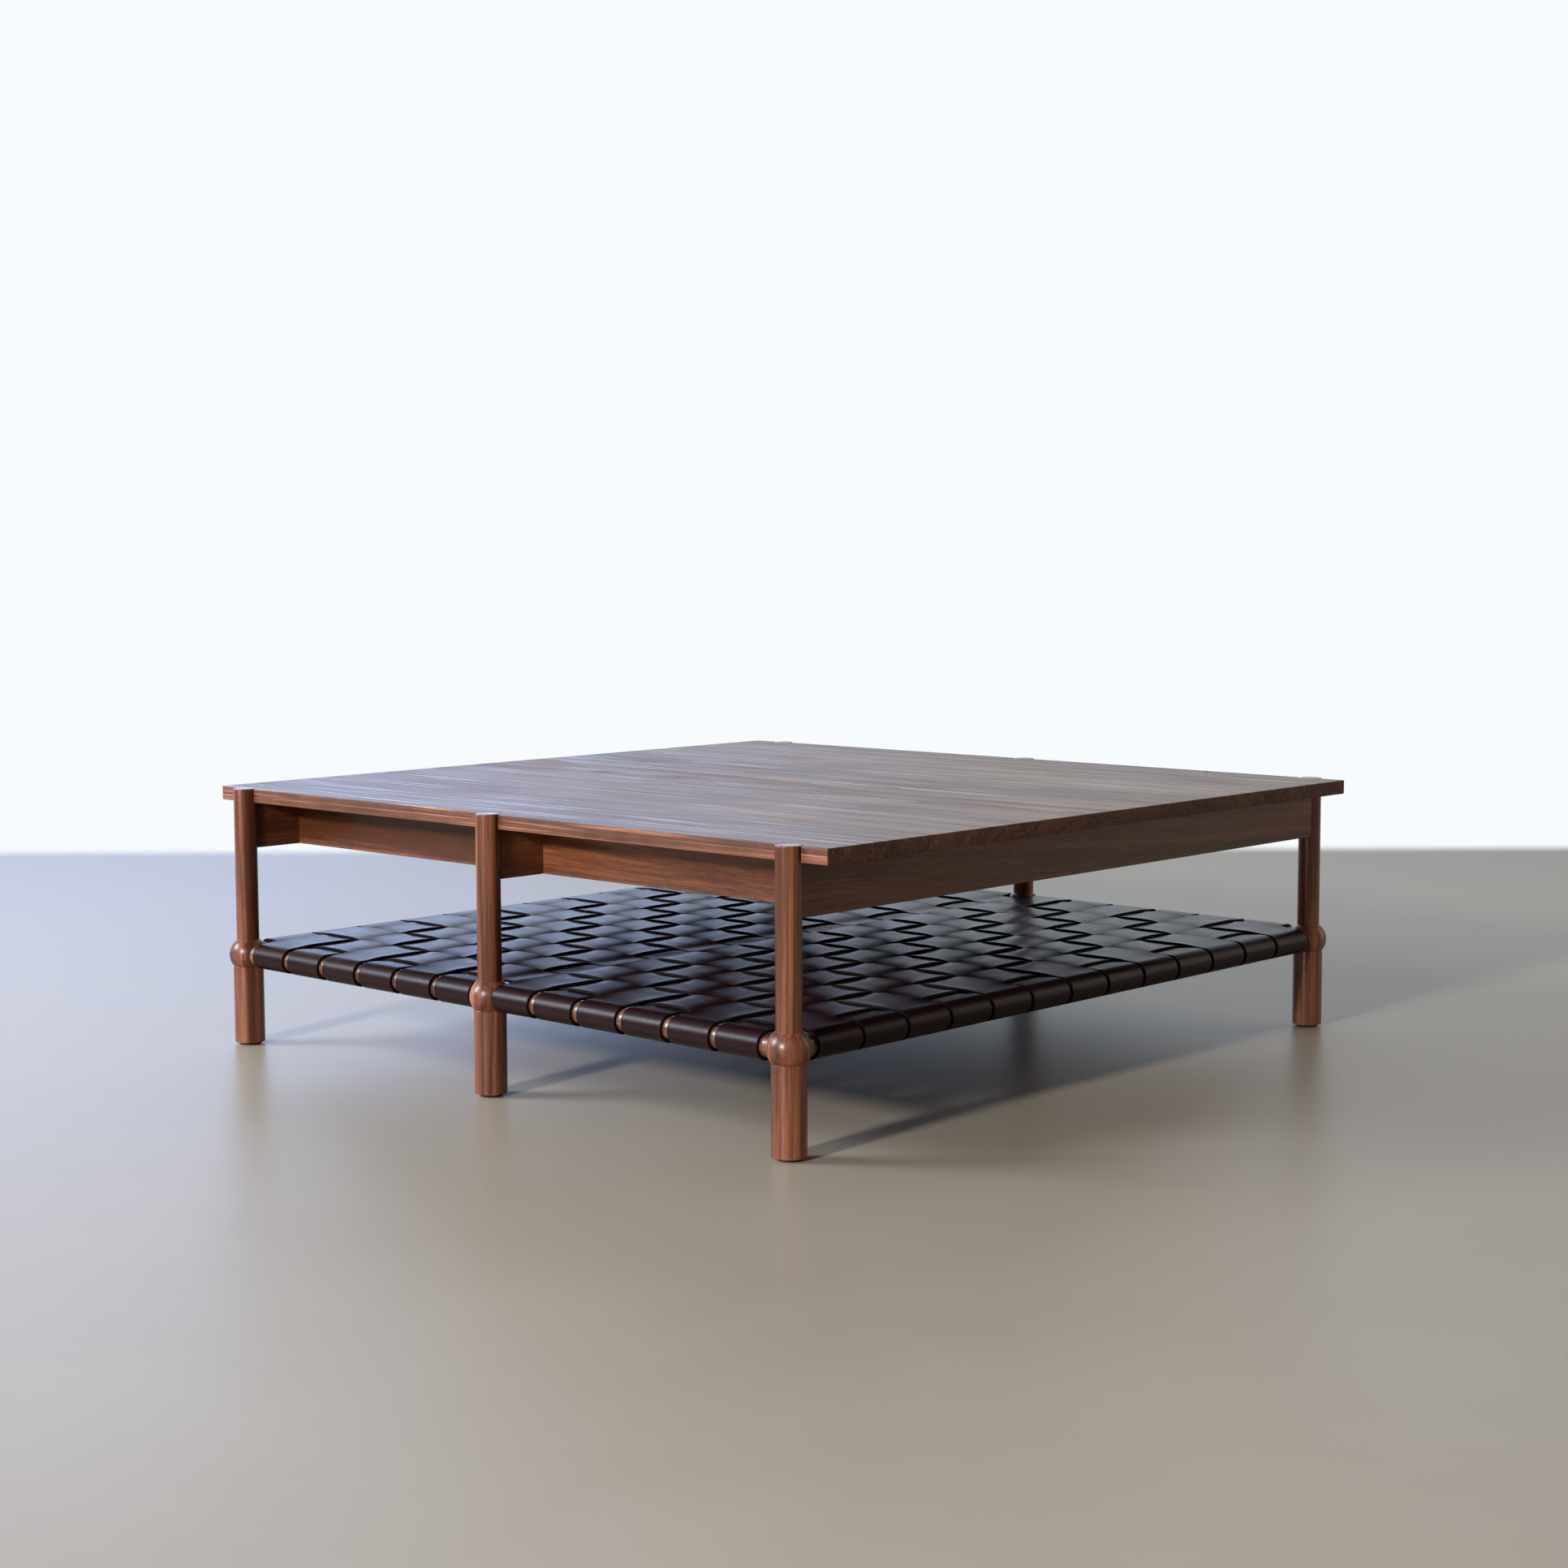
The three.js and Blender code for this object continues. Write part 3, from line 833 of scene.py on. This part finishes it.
def top_rings(sizes):
    """The top as rings of its outline: up round the lower arris, the side and the upper arris.

    On the lower arris the inset is r * (1 - sine) and the height r * (1 - cosine) of one angle,
    and on the upper one they change places.
    """
    low, high = corners_of("table_top")
    inner = sizes.top_arris + sizes.guard
    angles = np.radians(np.linspace(0.0, 90.0, ROUND_STEPS))
    fall, rise = sizes.top_arris * (1 - np.sin(angles)), sizes.top_arris * (1 - np.cos(angles))
    insets = [inner, *fall, *rise, inner]
    heights = [low[Z], *(low[Z] + rise), *(high[Z] - fall), high[Z]]
    rings = []
    for inset, height in zip(insets, heights):
        half = top_half_outline(inset, sizes, sizes.top_corner)
        loop = np.vstack([half, -half])
        rings.append(np.column_stack([loop, np.full(len(loop), height)]))
    return np.array(rings)


def make_top():
    """The plank top, with its two faces as single polygons inside the innermost rings."""
    sizes = bpy.context.scene.table_sizes
    rings = top_rings(sizes)
    index, _, sides = side_quads(rings)
    faces = sides + [index[0, ::-1].tolist(), index[-1].tolist()]
    worn = np.ones(index.shape)
    worn[[0, -1]] = 0.0
    end = np.abs(rings[..., X]) > rings[..., X].max() - sizes.top_arris
    finish = finish_of("walnut_top_boards", make_board_walnut)
    attributes = {"worn": worn.reshape(-1), "end": end.astype(float).reshape(-1)}
    piece = add_mesh("table_top_boards", rings.reshape(-1, 3), faces, attributes, finish)
    stand_for(piece, "table_top")


# Legs and pads.

def leg_profile(foot, head, sizes):
    """A leg's radius and height from foot to head.

    Rounded ends, two straight stretches, a shallow groove on each side of the ball, and the ball
    itself, where radius squared plus height from its centre squared is the ball's squared.
    """
    lower, upper, ease = sizes.lower_leg, sizes.upper_leg, sizes.leg_round
    bottom = -math.sqrt(sizes.ball ** 2 - lower ** 2)
    top = math.sqrt(sizes.ball ** 2 - sizes.collar ** 2)
    angles = np.linspace(math.asin(bottom / sizes.ball), math.asin(top / sizes.ball), BALL_STEPS)
    width, depth = sizes.groove_width, sizes.groove_depth
    groove = dip(lower, lower, sizes.ball_height + bottom - width, width, depth)
    neck = dip(sizes.collar, upper, sizes.ball_height + top, width, depth)
    return np.vstack([
        [[lower * 0.5, foot]],
        quarter(ease, -90.0) + (lower - ease, foot + ease),
        [[lower, foot + ease + sizes.guard]],
        groove[:-1],
        arc(sizes.ball, angles) + (0.0, sizes.ball_height),
        neck[1:],
        [[upper, head - ease - sizes.guard]],
        quarter(ease, 0.0) + (upper - ease, head - ease),
        [[upper * 0.5, head]],
    ])


def end_share(profile, ease):
    """One on the two ends of a turned piece, rounding and all, and nought along it."""
    from_end = np.abs(profile[:, 1, None] - profile[[0, -1], 1]).min(axis=1)
    return (from_end <= ease * 1.01).astype(float)[:, None]


def make_legs():
    """The six turned legs, with the grain up the leg."""
    sizes = bpy.context.scene.table_sizes
    finish = finish_of("walnut_turned", make_walnut, **TURNED)
    for seed, leg in enumerate(nodes_named("leg_"), LEG_SEED):
        low, high = corners_of(leg)
        profile = leg_profile(low[Z], high[Z], sizes)
        worn = end_share(profile, sizes.leg_round)
        rings = turned(profile, leg_place(leg))
        add_walnut(leg, "turned", "walnut_leg", rings, worn, finish, Z, seed, **LEG_LOG)


def make_glides():
    """The six pads under the legs: discs with a rounded lower edge."""
    finish = finish_of("glide_pad", make_pad)
    for glide in nodes_named("glide_"):
        low, high = corners_of(glide)
        radius, ease = (high[X] - low[X]) / 2, (high[Z] - low[Z]) / 4
        profile = np.vstack([
            [[radius * 0.5, low[Z]]],
            quarter(ease, -90.0) + (radius - ease, low[Z] + ease),
            [[radius, high[Z]]],
            [[radius * 0.5, high[Z]]],
        ])
        middle = middle_of(glide)
        rings = turned(profile, (middle[X], middle[Y], 0.0), sides=GLIDE_SIDES)
        piece = add_mesh(f"{glide}_pad", *closed_skin(rings), {}, finish)
        stand_for(piece, glide)


# Beams, rails and buttons under the top.

def make_bar(node, axis, reach, finish, seed):
    """A straight bar with eased long edges in a node's box, with ends at the reach."""
    sizes = bpy.context.scene.table_sizes
    low, high = corners_of(node)
    corners = rectangle(*np.roll(high - low, -axis)[1:])
    outline, worn = eased_outline(corners, sizes.beam_round, sizes.guard)
    rings = carried(outline, axis, middle_of(node), reach)
    add_walnut(node, "planed", "walnut_beam", rings, worn, finish, axis, seed)


def make_beams():
    """Three cross beams with ends hollowed round the legs, and four long rails between them."""
    sizes = bpy.context.scene.table_sizes
    finish = finish_of("walnut_planed", make_walnut, **PLANED)
    leg_y = abs(leg_place("leg_front_middle")[Y])
    hollow = sizes.upper_leg + sizes.fit

    def beam_reach(loops):
        """Half the beam's length at a place in its section: the leg's distance less its chord."""
        return leg_y - np.sqrt(hollow ** 2 - loops[..., 1] ** 2)

    for seed, beam in enumerate(nodes_named("cross_beam_"), BEAM_SEED):
        make_bar(beam, Y, beam_reach, finish, seed)

    low, high = corners_of("cross_beam_middle")
    half_beam = (high[X] - low[X]) / 2
    bay = abs(leg_place("leg_front_left")[X])
    half_rail = bay / 2 - half_beam - sizes.fit
    for seed, rail in enumerate(nodes_named("long_rail_"), LONG_RAIL_SEED):
        make_bar(rail, X, lambda loops: half_rail, finish, seed)


def make_buttons():
    """The buttons under the top: an L section with eased edges, and a screw in each."""
    sizes = bpy.context.scene.table_sizes
    finish = finish_of("walnut_planed", make_walnut, **PLANED)
    step = corners_of("long_rail_rear_left")[0][Y] - sizes.fit
    heads = []
    for seed, button in enumerate(nodes_named("top_button_"), BUTTON_SEED):
        low, high = corners_of(button)
        middle = middle_of(button)
        side = math.copysign(1.0, middle[Y])
        back, tip = sorted((abs(low[Y]), abs(high[Y])))
        tongue = low[Z] + sizes.button_tongue
        section = np.array([
            [side * back, low[Z]], [side * tip, low[Z]], [side * tip, tongue],
            [side * step, tongue], [side * step, high[Z]], [side * back, high[Z]],
        ])[:: int(side)]
        outline, worn = eased_outline(section - middle[1:], sizes.button_round, sizes.button_round)
        half = (high[X] - low[X]) / 2
        rings = carried(outline, X, middle, lambda loops: half, cap_rings=2)
        add_walnut(button, "eased", "walnut_beam", rings, worn, finish, Y, seed)
        heads.append(screw_rings((middle[X], side * (back + step) / 2, low[Z]), sizes.screw))
    make_screws(heads)


def screw_rings(place, radius):
    """A domed screw head with a square socket, which faces down.

    The socket's ring has radius * cosine(45) / cosine(angle from the nearest side's middle).
    """
    angles = np.linspace(0.0, 2.0 * math.pi, SCREW_SIDES, endpoint=False)
    square = math.cos(math.pi / 4) / np.cos((angles + math.pi / 4) % (math.pi / 2) - math.pi / 4)
    part, height, squared = np.array(SCREW_RINGS).T[..., None]
    reach = part * radius * np.where(squared, square, 1.0)
    return on_axes(Z, height, reach * np.cos(angles), reach * np.sin(angles)) + place


def make_screws(heads):
    """All the screw heads as one piece."""
    skins = [closed_skin(rings) for rings in heads]
    faces = []
    for number, (points, head) in enumerate(skins):
        faces += [[number * len(points) + i for i in face] for face in head]
    points = np.vstack([points for points, _ in skins])
    piece = add_mesh("top_button_screws", points, faces, {}, finish_of("screw_steel", make_steel))
    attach(piece, "root")


# Shelf.

def make_shelf_rails():
    """The six round rails from ball to ball.

    Each end is hollowed to the ball, at ball distance - square root of (ball^2 - radius^2), and has
    a round tenon.
    """
    sizes = bpy.context.scene.table_sizes
    finish = finish_of("walnut_rail_round", make_walnut, **ROUND_RAILS)
    for seed, rail in enumerate(nodes_named("shelf_rail_"), SHELF_RAIL_SEED):
        low, high = corners_of(rail)
        axis = X if high[X] - low[X] > high[Y] - low[Y] else Y
        tip = (high[axis] - low[axis]) / 2
        ball_distance = abs(leg_place("leg_front_left")[axis]) * (0.5 if axis == X else 1.0)
        radii = np.linspace(sizes.shelf_tenon, sizes.shelf_rail, ROUND_STEPS)
        scribed = ball_distance - np.sqrt((sizes.ball + sizes.fit) ** 2 - radii ** 2)
        end = np.vstack([
            [[sizes.shelf_tenon / 2, tip], [sizes.shelf_tenon, tip]],
            np.stack([radii, scribed], axis=-1),
        ])
        profile = np.vstack([end * (1.0, -1.0), end[::-1]])
        rings = turned(profile, middle_of(rail), axis, RAIL_SIDES)
        add_walnut(rail, "round", "walnut_rail", rings, 0.0, finish, axis, seed)


def strap_line(rail_at, centres, width, over, sizes, random):
    """The middle line of a strap, as distance along the table and height, and its cup.

    It turns about one rail from under it to its top, passes over and under the straps that it
    crosses, and turns about the other rail. At a crossing it stands off the weave's middle by
    lift + crown * (1 - dive * |u|^3), where u goes from -1 to 1, which leaves most of a square flat.
    The dive is one, but small where a strap comes level from a rail. Cubic Hermite curves join the
    crossings with the slope 6 * crown * dive / width. The cup is how far the edges stand off the
    middle line, and it grows from the square's middle to its ends with u^2.
    """
    rail_height = middle_of("shelf_rail_side_left")[Z]
    turn = sizes.shelf_rail + sizes.strap_play + sizes.strap / 2
    angles = np.radians(np.linspace(WRAP_START, 90.0, WRAP_STEPS))[:-1]
    wrap = turn * np.stack([-np.cos(angles), np.sin(angles)], axis=-1) + (-rail_at, rail_height)

    signs = np.where(over, 1.0, -1.0)
    crowns = sizes.strap_crown * random.uniform(*CROWN_SPREAD, len(centres))
    dives = np.ones((len(centres), 2))
    dives[0, 0] = sizes.strap_level if over[0] else 1.0
    dives[-1, 1] = sizes.strap_level if over[-1] else 1.0
    slopes = (signs * 6.0 * crowns / width)[:, None] * dives * (1.0, -1.0)

    knots = np.stack([centres - width / 2, centres + width / 2], axis=-1).reshape(-1)
    knots = np.concatenate([[-rail_at], knots, [rail_at]])
    rail_top = rail_height + turn
    level = (rail_top - sizes.weave_sink + signs * sizes.strap_lift)[:, None]
    rises = (signs * crowns)[:, None]
    heights = np.concatenate([[rail_top], (level + rises * (1.0 - dives)).reshape(-1), [rail_top]])
    tilts = np.concatenate([[0.0], slopes.reshape(-1), [0.0]])

    part = (np.arange(STRAP_STEPS) / STRAP_STEPS)[None]
    run = np.diff(knots)[:, None]
    h0, h1 = heights[:-1, None], heights[1:, None]
    m0, m1 = tilts[:-1, None] * run, tilts[1:, None] * run
    z = (h0 * (2 * part ** 3 - 3 * part ** 2 + 1) + m0 * (part ** 3 - 2 * part ** 2 + part)
         + h1 * (3 * part ** 2 - 2 * part ** 3) + m1 * (part ** 3 - part ** 2))
    dive = np.where(part < 0.5, dives[:, :1], dives[:, 1:])
    z[1::2] = level + rises * (1.0 - dive * np.abs(2.0 * part - 1.0) ** 3)
    weave = np.stack([knots[:-1, None] + run * part, z], axis=-1).reshape(-1, 2)
    line = np.vstack([wrap, weave, [[rail_at, rail_top]], (wrap * (-1.0, 1.0))[::-1]])

    ends = np.concatenate([[0.0], np.repeat(signs * sizes.strap_cup_end, 2), [0.0]])
    ease = part ** 2 * (3 - 2 * part)
    cup = ends[:-1, None] + (ends[1:] - ends[:-1])[:, None] * ease
    shrink = (sizes.strap_cup_end - sizes.strap_cup) * (1.0 - (2.0 * part - 1.0) ** 2)
    cup[1::2] -= signs[:, None] * shrink
    still = np.zeros(len(wrap))
    return line, np.concatenate([still, cup.reshape(-1), [0.0], still])


def strap_section(width, sizes):
    """A strap's section: place across it, place through it, and how much each point is cut edge.

    The two faces are divided across the strap, so that they can cup.
    """
    ease = sizes.strap_round
    # The guard carries the black edge a little onto the faces, as painted shade.
    outline, worn = eased_outline(rectangle(width, sizes.strap), ease, ease)
    inside = np.linspace(-0.5, 0.5, CUP_STEPS + 2)[1:-1] * (width - 4 * ease)
    low = np.column_stack([inside, np.full(CUP_STEPS, -sizes.strap / 2)])
    flat = np.zeros(CUP_STEPS)
    first, third = ROUND_STEPS + 2, 3 * (ROUND_STEPS + 2)
    outline = np.vstack([outline[:first], low, outline[first:third], -low, outline[third:]])
    worn = np.concatenate([worn[:first], flat, worn[first:third], flat, worn[third:]])
    return outline, worn


def strap_rings(line, cup, section, across, at):
    """A strap's section carried along its middle line, square to it.

    The point is line + through * normal + across * width direction. The part through the strap
    grows by the cup times the third power of the share of the way to the edge. The normal is the
    line's direction turned by a right angle.
    """
    along = np.gradient(line, axis=0)
    along /= np.linalg.norm(along, axis=1, keepdims=True)
    normal = np.stack([-along[:, 1], along[:, 0]], axis=-1)
    half = np.abs(section[:, 0]).max()
    through = section[None, :, 1] + cup[:, None] * (np.abs(section[None, :, 0]) / half) ** 3
    flat = line[:, None] + through[..., None] * normal[:, None]
    if across == X:
        rings = on_axes(X, at - section[:, 0], flat[..., 0], flat[..., 1])
    else:
        rings = on_axes(Y, at + section[:, 0], flat[..., 1], flat[..., 0])
    travelled = np.concatenate([[0.0], np.cumsum(np.linalg.norm(np.diff(line, axis=0), axis=1))])
    return rings, travelled


def make_straps():
    """Both sets of straps, over and under each other in turn."""
    sizes = bpy.context.scene.table_sizes
    finish = finish_of("strap_leather", make_leather)
    names = {X: nodes_named("strap_across_"), Y: nodes_named("strap_along_")}
    rails = {
        X: abs(middle_of("shelf_rail_front_left")[Y]),
        Y: abs(middle_of("shelf_rail_side_left")[X]),
    }
    for across, crossed in ((X, Y), (Y, X)):
        centres = np.array([middle_of(name)[crossed] for name in names[crossed]])
        low, high = corners_of(names[crossed][0])
        crossed_width = high[crossed] - low[crossed]
        numbers = np.arange(len(centres))
        for number, name in enumerate(names[across]):
            random = np.random.default_rng(STRAP_SET_SEED * across + number)
            even = (numbers + number) % 2 == 0
            over = even if across == X else ~even
            line, cup = strap_line(rails[across], centres, crossed_width, over, sizes, random)
            low, high = corners_of(name)
            section, edge = strap_section(high[across] - low[across], sizes)
            at = (low[across] + high[across]) / 2
            rings, travelled = strap_rings(line, cup, section, across, at)
            points, faces = closed_skin(rings)
            shape = rings.shape[:2]
            place = travelled[:, None] + HIDE_STEP * number + HIDE_SET_STEP * across
            hide = np.stack(np.broadcast_arrays(place, *section.T), axis=-1)
            rise = np.clip((line[:, 1] - line[:, 1].max() + RUB_DEPTH) / RUB_DEPTH, 0.0, 1.0)
            attributes = {
                "hide": with_ends(hide),
                "edge": with_ends(np.broadcast_to(edge, shape)),
                "rub": with_ends(np.broadcast_to(rise[:, None], shape)),
            }
            piece = add_mesh(f"{name}_leather", points, faces, attributes, finish, sharp=50.0)
            stand_for(piece, name)


# Stage.

def make_floor_plane():
    """A flat floor under the table."""
    corners = np.column_stack([rectangle(2 * FLOOR_REACH, 2 * FLOOR_REACH), np.zeros(4)])
    finish = finish_of("floor_plain", make_floor)
    floor = add_mesh("studio_floor", corners, [[0, 1, 2, 3]], {}, finish)


def add_panel_light(name, place, width, height, power, tint):
    """A soft panel light that faces the table."""
    lamp = bpy.data.lights.new(name, "AREA")
    lamp.shape = "RECTANGLE"
    lamp.size, lamp.size_y = width, height
    lamp.energy = power
    lamp.color = tint
    light = add_object(name, lamp)
    light.location = place
    towards = Vector(LIGHTS_FACE) - Vector(place)
    light.rotation_euler = towards.to_track_quat("-Z", "Y").to_euler()


def make_world():
    """A pale world that the camera sees plain, and that shines mostly from behind the table.

    Its light is dim all round. The backdrop and a cold glow are added, each a smooth rise of the
    dot product of the direction with the one in which it lies.
    """
    world = bpy.data.worlds.new("studio_world")
    finish = Finish(world, "Background")
    look = finish.look
    direction = finish.node("ShaderNodeTexCoord", output="Generated")
    bright = finish.dot(direction, BACKDROP_TOWARDS).between(*BACKDROP_RISE)
    cold = GLOW_STRENGTH * finish.dot(direction, GLOW_TOWARDS).between(*GLOW_RISE)
    light = bright * tuple(look.haze) + cold * tuple(look.glow) + tuple(look.bounce)
    seen = finish.node("ShaderNodeLightPath", output="Is Camera Ray")
    finish.shade(color=finish.mix(seen, light, look.backdrop), strength=1.0)
    bpy.context.scene.world = world


def make_lights():
    """A far key panel in front, a wide cool one on the left, and two dim ones as pale walls."""
    for name, settings in PANEL_LIGHTS.items():
        add_panel_light(name, *settings)


def make_camera():
    """The photograph's camera: yaw, pitch and roll give its forward, right and up directions."""
    forward = Vector((
        math.cos(CAMERA_YAW) * math.cos(CAMERA_PITCH),
        math.sin(CAMERA_YAW) * math.cos(CAMERA_PITCH),
        math.sin(CAMERA_PITCH),
    ))
    right = Vector((math.sin(CAMERA_YAW), -math.cos(CAMERA_YAW), 0.0))
    up = right.cross(forward)
    rolled_right = math.cos(CAMERA_ROLL) * right + math.sin(CAMERA_ROLL) * up
    rolled_up = math.cos(CAMERA_ROLL) * up - math.sin(CAMERA_ROLL) * right
    data = bpy.data.cameras.new("photo_camera")
    data.sensor_width = CAMERA_SENSOR
    data.lens = CAMERA_LENS
    data.clip_start, data.clip_end = CAMERA_CLIP
    camera = add_object("photo_camera", data)
    turn = Matrix((rolled_right, rolled_up, -forward)).transposed()
    camera.matrix_world = Matrix.Translation(CAMERA_PLACE) @ turn.to_4x4()
    bpy.context.scene.camera = camera
    bpy.context.scene.view_settings.view_transform = "Standard"


# Operators.

class WOVENTABLE_OT_top(Operator):
    """Make the notched plank top"""

    bl_idname = "woven_table.top"
    bl_label = "Make top"

    def execute(self, context):
        make_top()
        return {"FINISHED"}


class WOVENTABLE_OT_legs(Operator):
    """Turn the six ball legs"""

    bl_idname = "woven_table.legs"
    bl_label = "Make legs"

    def execute(self, context):
        make_legs()
        return {"FINISHED"}


class WOVENTABLE_OT_glides(Operator):
    """Put a pad under each leg"""

    bl_idname = "woven_table.glides"
    bl_label = "Make pads"

    def execute(self, context):
        make_glides()
        return {"FINISHED"}


class WOVENTABLE_OT_beams(Operator):
    """Make the cross beams and the long rails"""

    bl_idname = "woven_table.beams"
    bl_label = "Make beams"

    def execute(self, context):
        make_beams()
        return {"FINISHED"}


class WOVENTABLE_OT_buttons(Operator):
    """Make the buttons that hold the top down, with their screws"""

    bl_idname = "woven_table.buttons"
    bl_label = "Make buttons"

    def execute(self, context):
        make_buttons()
        return {"FINISHED"}


class WOVENTABLE_OT_shelf_rails(Operator):
    """Make the round rails of the shelf"""

    bl_idname = "woven_table.shelf_rails"
    bl_label = "Make shelf rails"

    def execute(self, context):
        make_shelf_rails()
        return {"FINISHED"}


class WOVENTABLE_OT_straps(Operator):
    """Weave the leather straps"""

    bl_idname = "woven_table.straps"
    bl_label = "Weave straps"

    def execute(self, context):
        make_straps()
        return {"FINISHED"}


class WOVENTABLE_OT_stage(Operator):
    """Set the floor, the lights and the camera"""

    bl_idname = "woven_table.stage"
    bl_label = "Set stage"

    def execute(self, context):
        make_floor_plane()
        make_world()
        make_lights()
        make_camera()
        return {"FINISHED"}


OPERATORS = (
    WOVENTABLE_OT_stage,
    WOVENTABLE_OT_top,
    WOVENTABLE_OT_legs,
    WOVENTABLE_OT_glides,
    WOVENTABLE_OT_beams,
    WOVENTABLE_OT_buttons,
    WOVENTABLE_OT_shelf_rails,
    WOVENTABLE_OT_straps,
)


class WOVENTABLE_PT_panel(Panel):
    """Sizes and finishes of the table, and a button for each of its makers"""

    bl_idname = "WOVENTABLE_PT_panel"
    bl_label = "Woven table"
    bl_space_type = "VIEW_3D"
    bl_region_type = "UI"
    bl_category = "Woven table"

    def draw(self, context):
        for group in (context.scene.table_sizes, context.scene.table_finishes):
            column = self.layout.column(align=True)
            for name in type(group).__annotations__:
                column.prop(group, name)
        for operator in OPERATORS:
            self.layout.operator(operator.bl_idname)


CLASSES = (TableSizes, TableFinishes, *OPERATORS, WOVENTABLE_PT_panel)


def register():
    for each in CLASSES:
        bpy.utils.register_class(each)
    bpy.types.Scene.table_sizes = PointerProperty(type=TableSizes)
    bpy.types.Scene.table_finishes = PointerProperty(type=TableFinishes)


def unregister():
    del bpy.types.Scene.table_finishes
    del bpy.types.Scene.table_sizes
    for each in reversed(CLASSES):
        bpy.utils.unregister_class(each)


def main():
    """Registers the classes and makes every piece."""
    register()
    bpy.ops.woven_table.stage()
    bpy.ops.woven_table.top()
    bpy.ops.woven_table.legs()
    bpy.ops.woven_table.glides()
    bpy.ops.woven_table.beams()
    bpy.ops.woven_table.buttons()
    bpy.ops.woven_table.shelf_rails()
    bpy.ops.woven_table.straps()


if __name__ == "__main__":
    main()
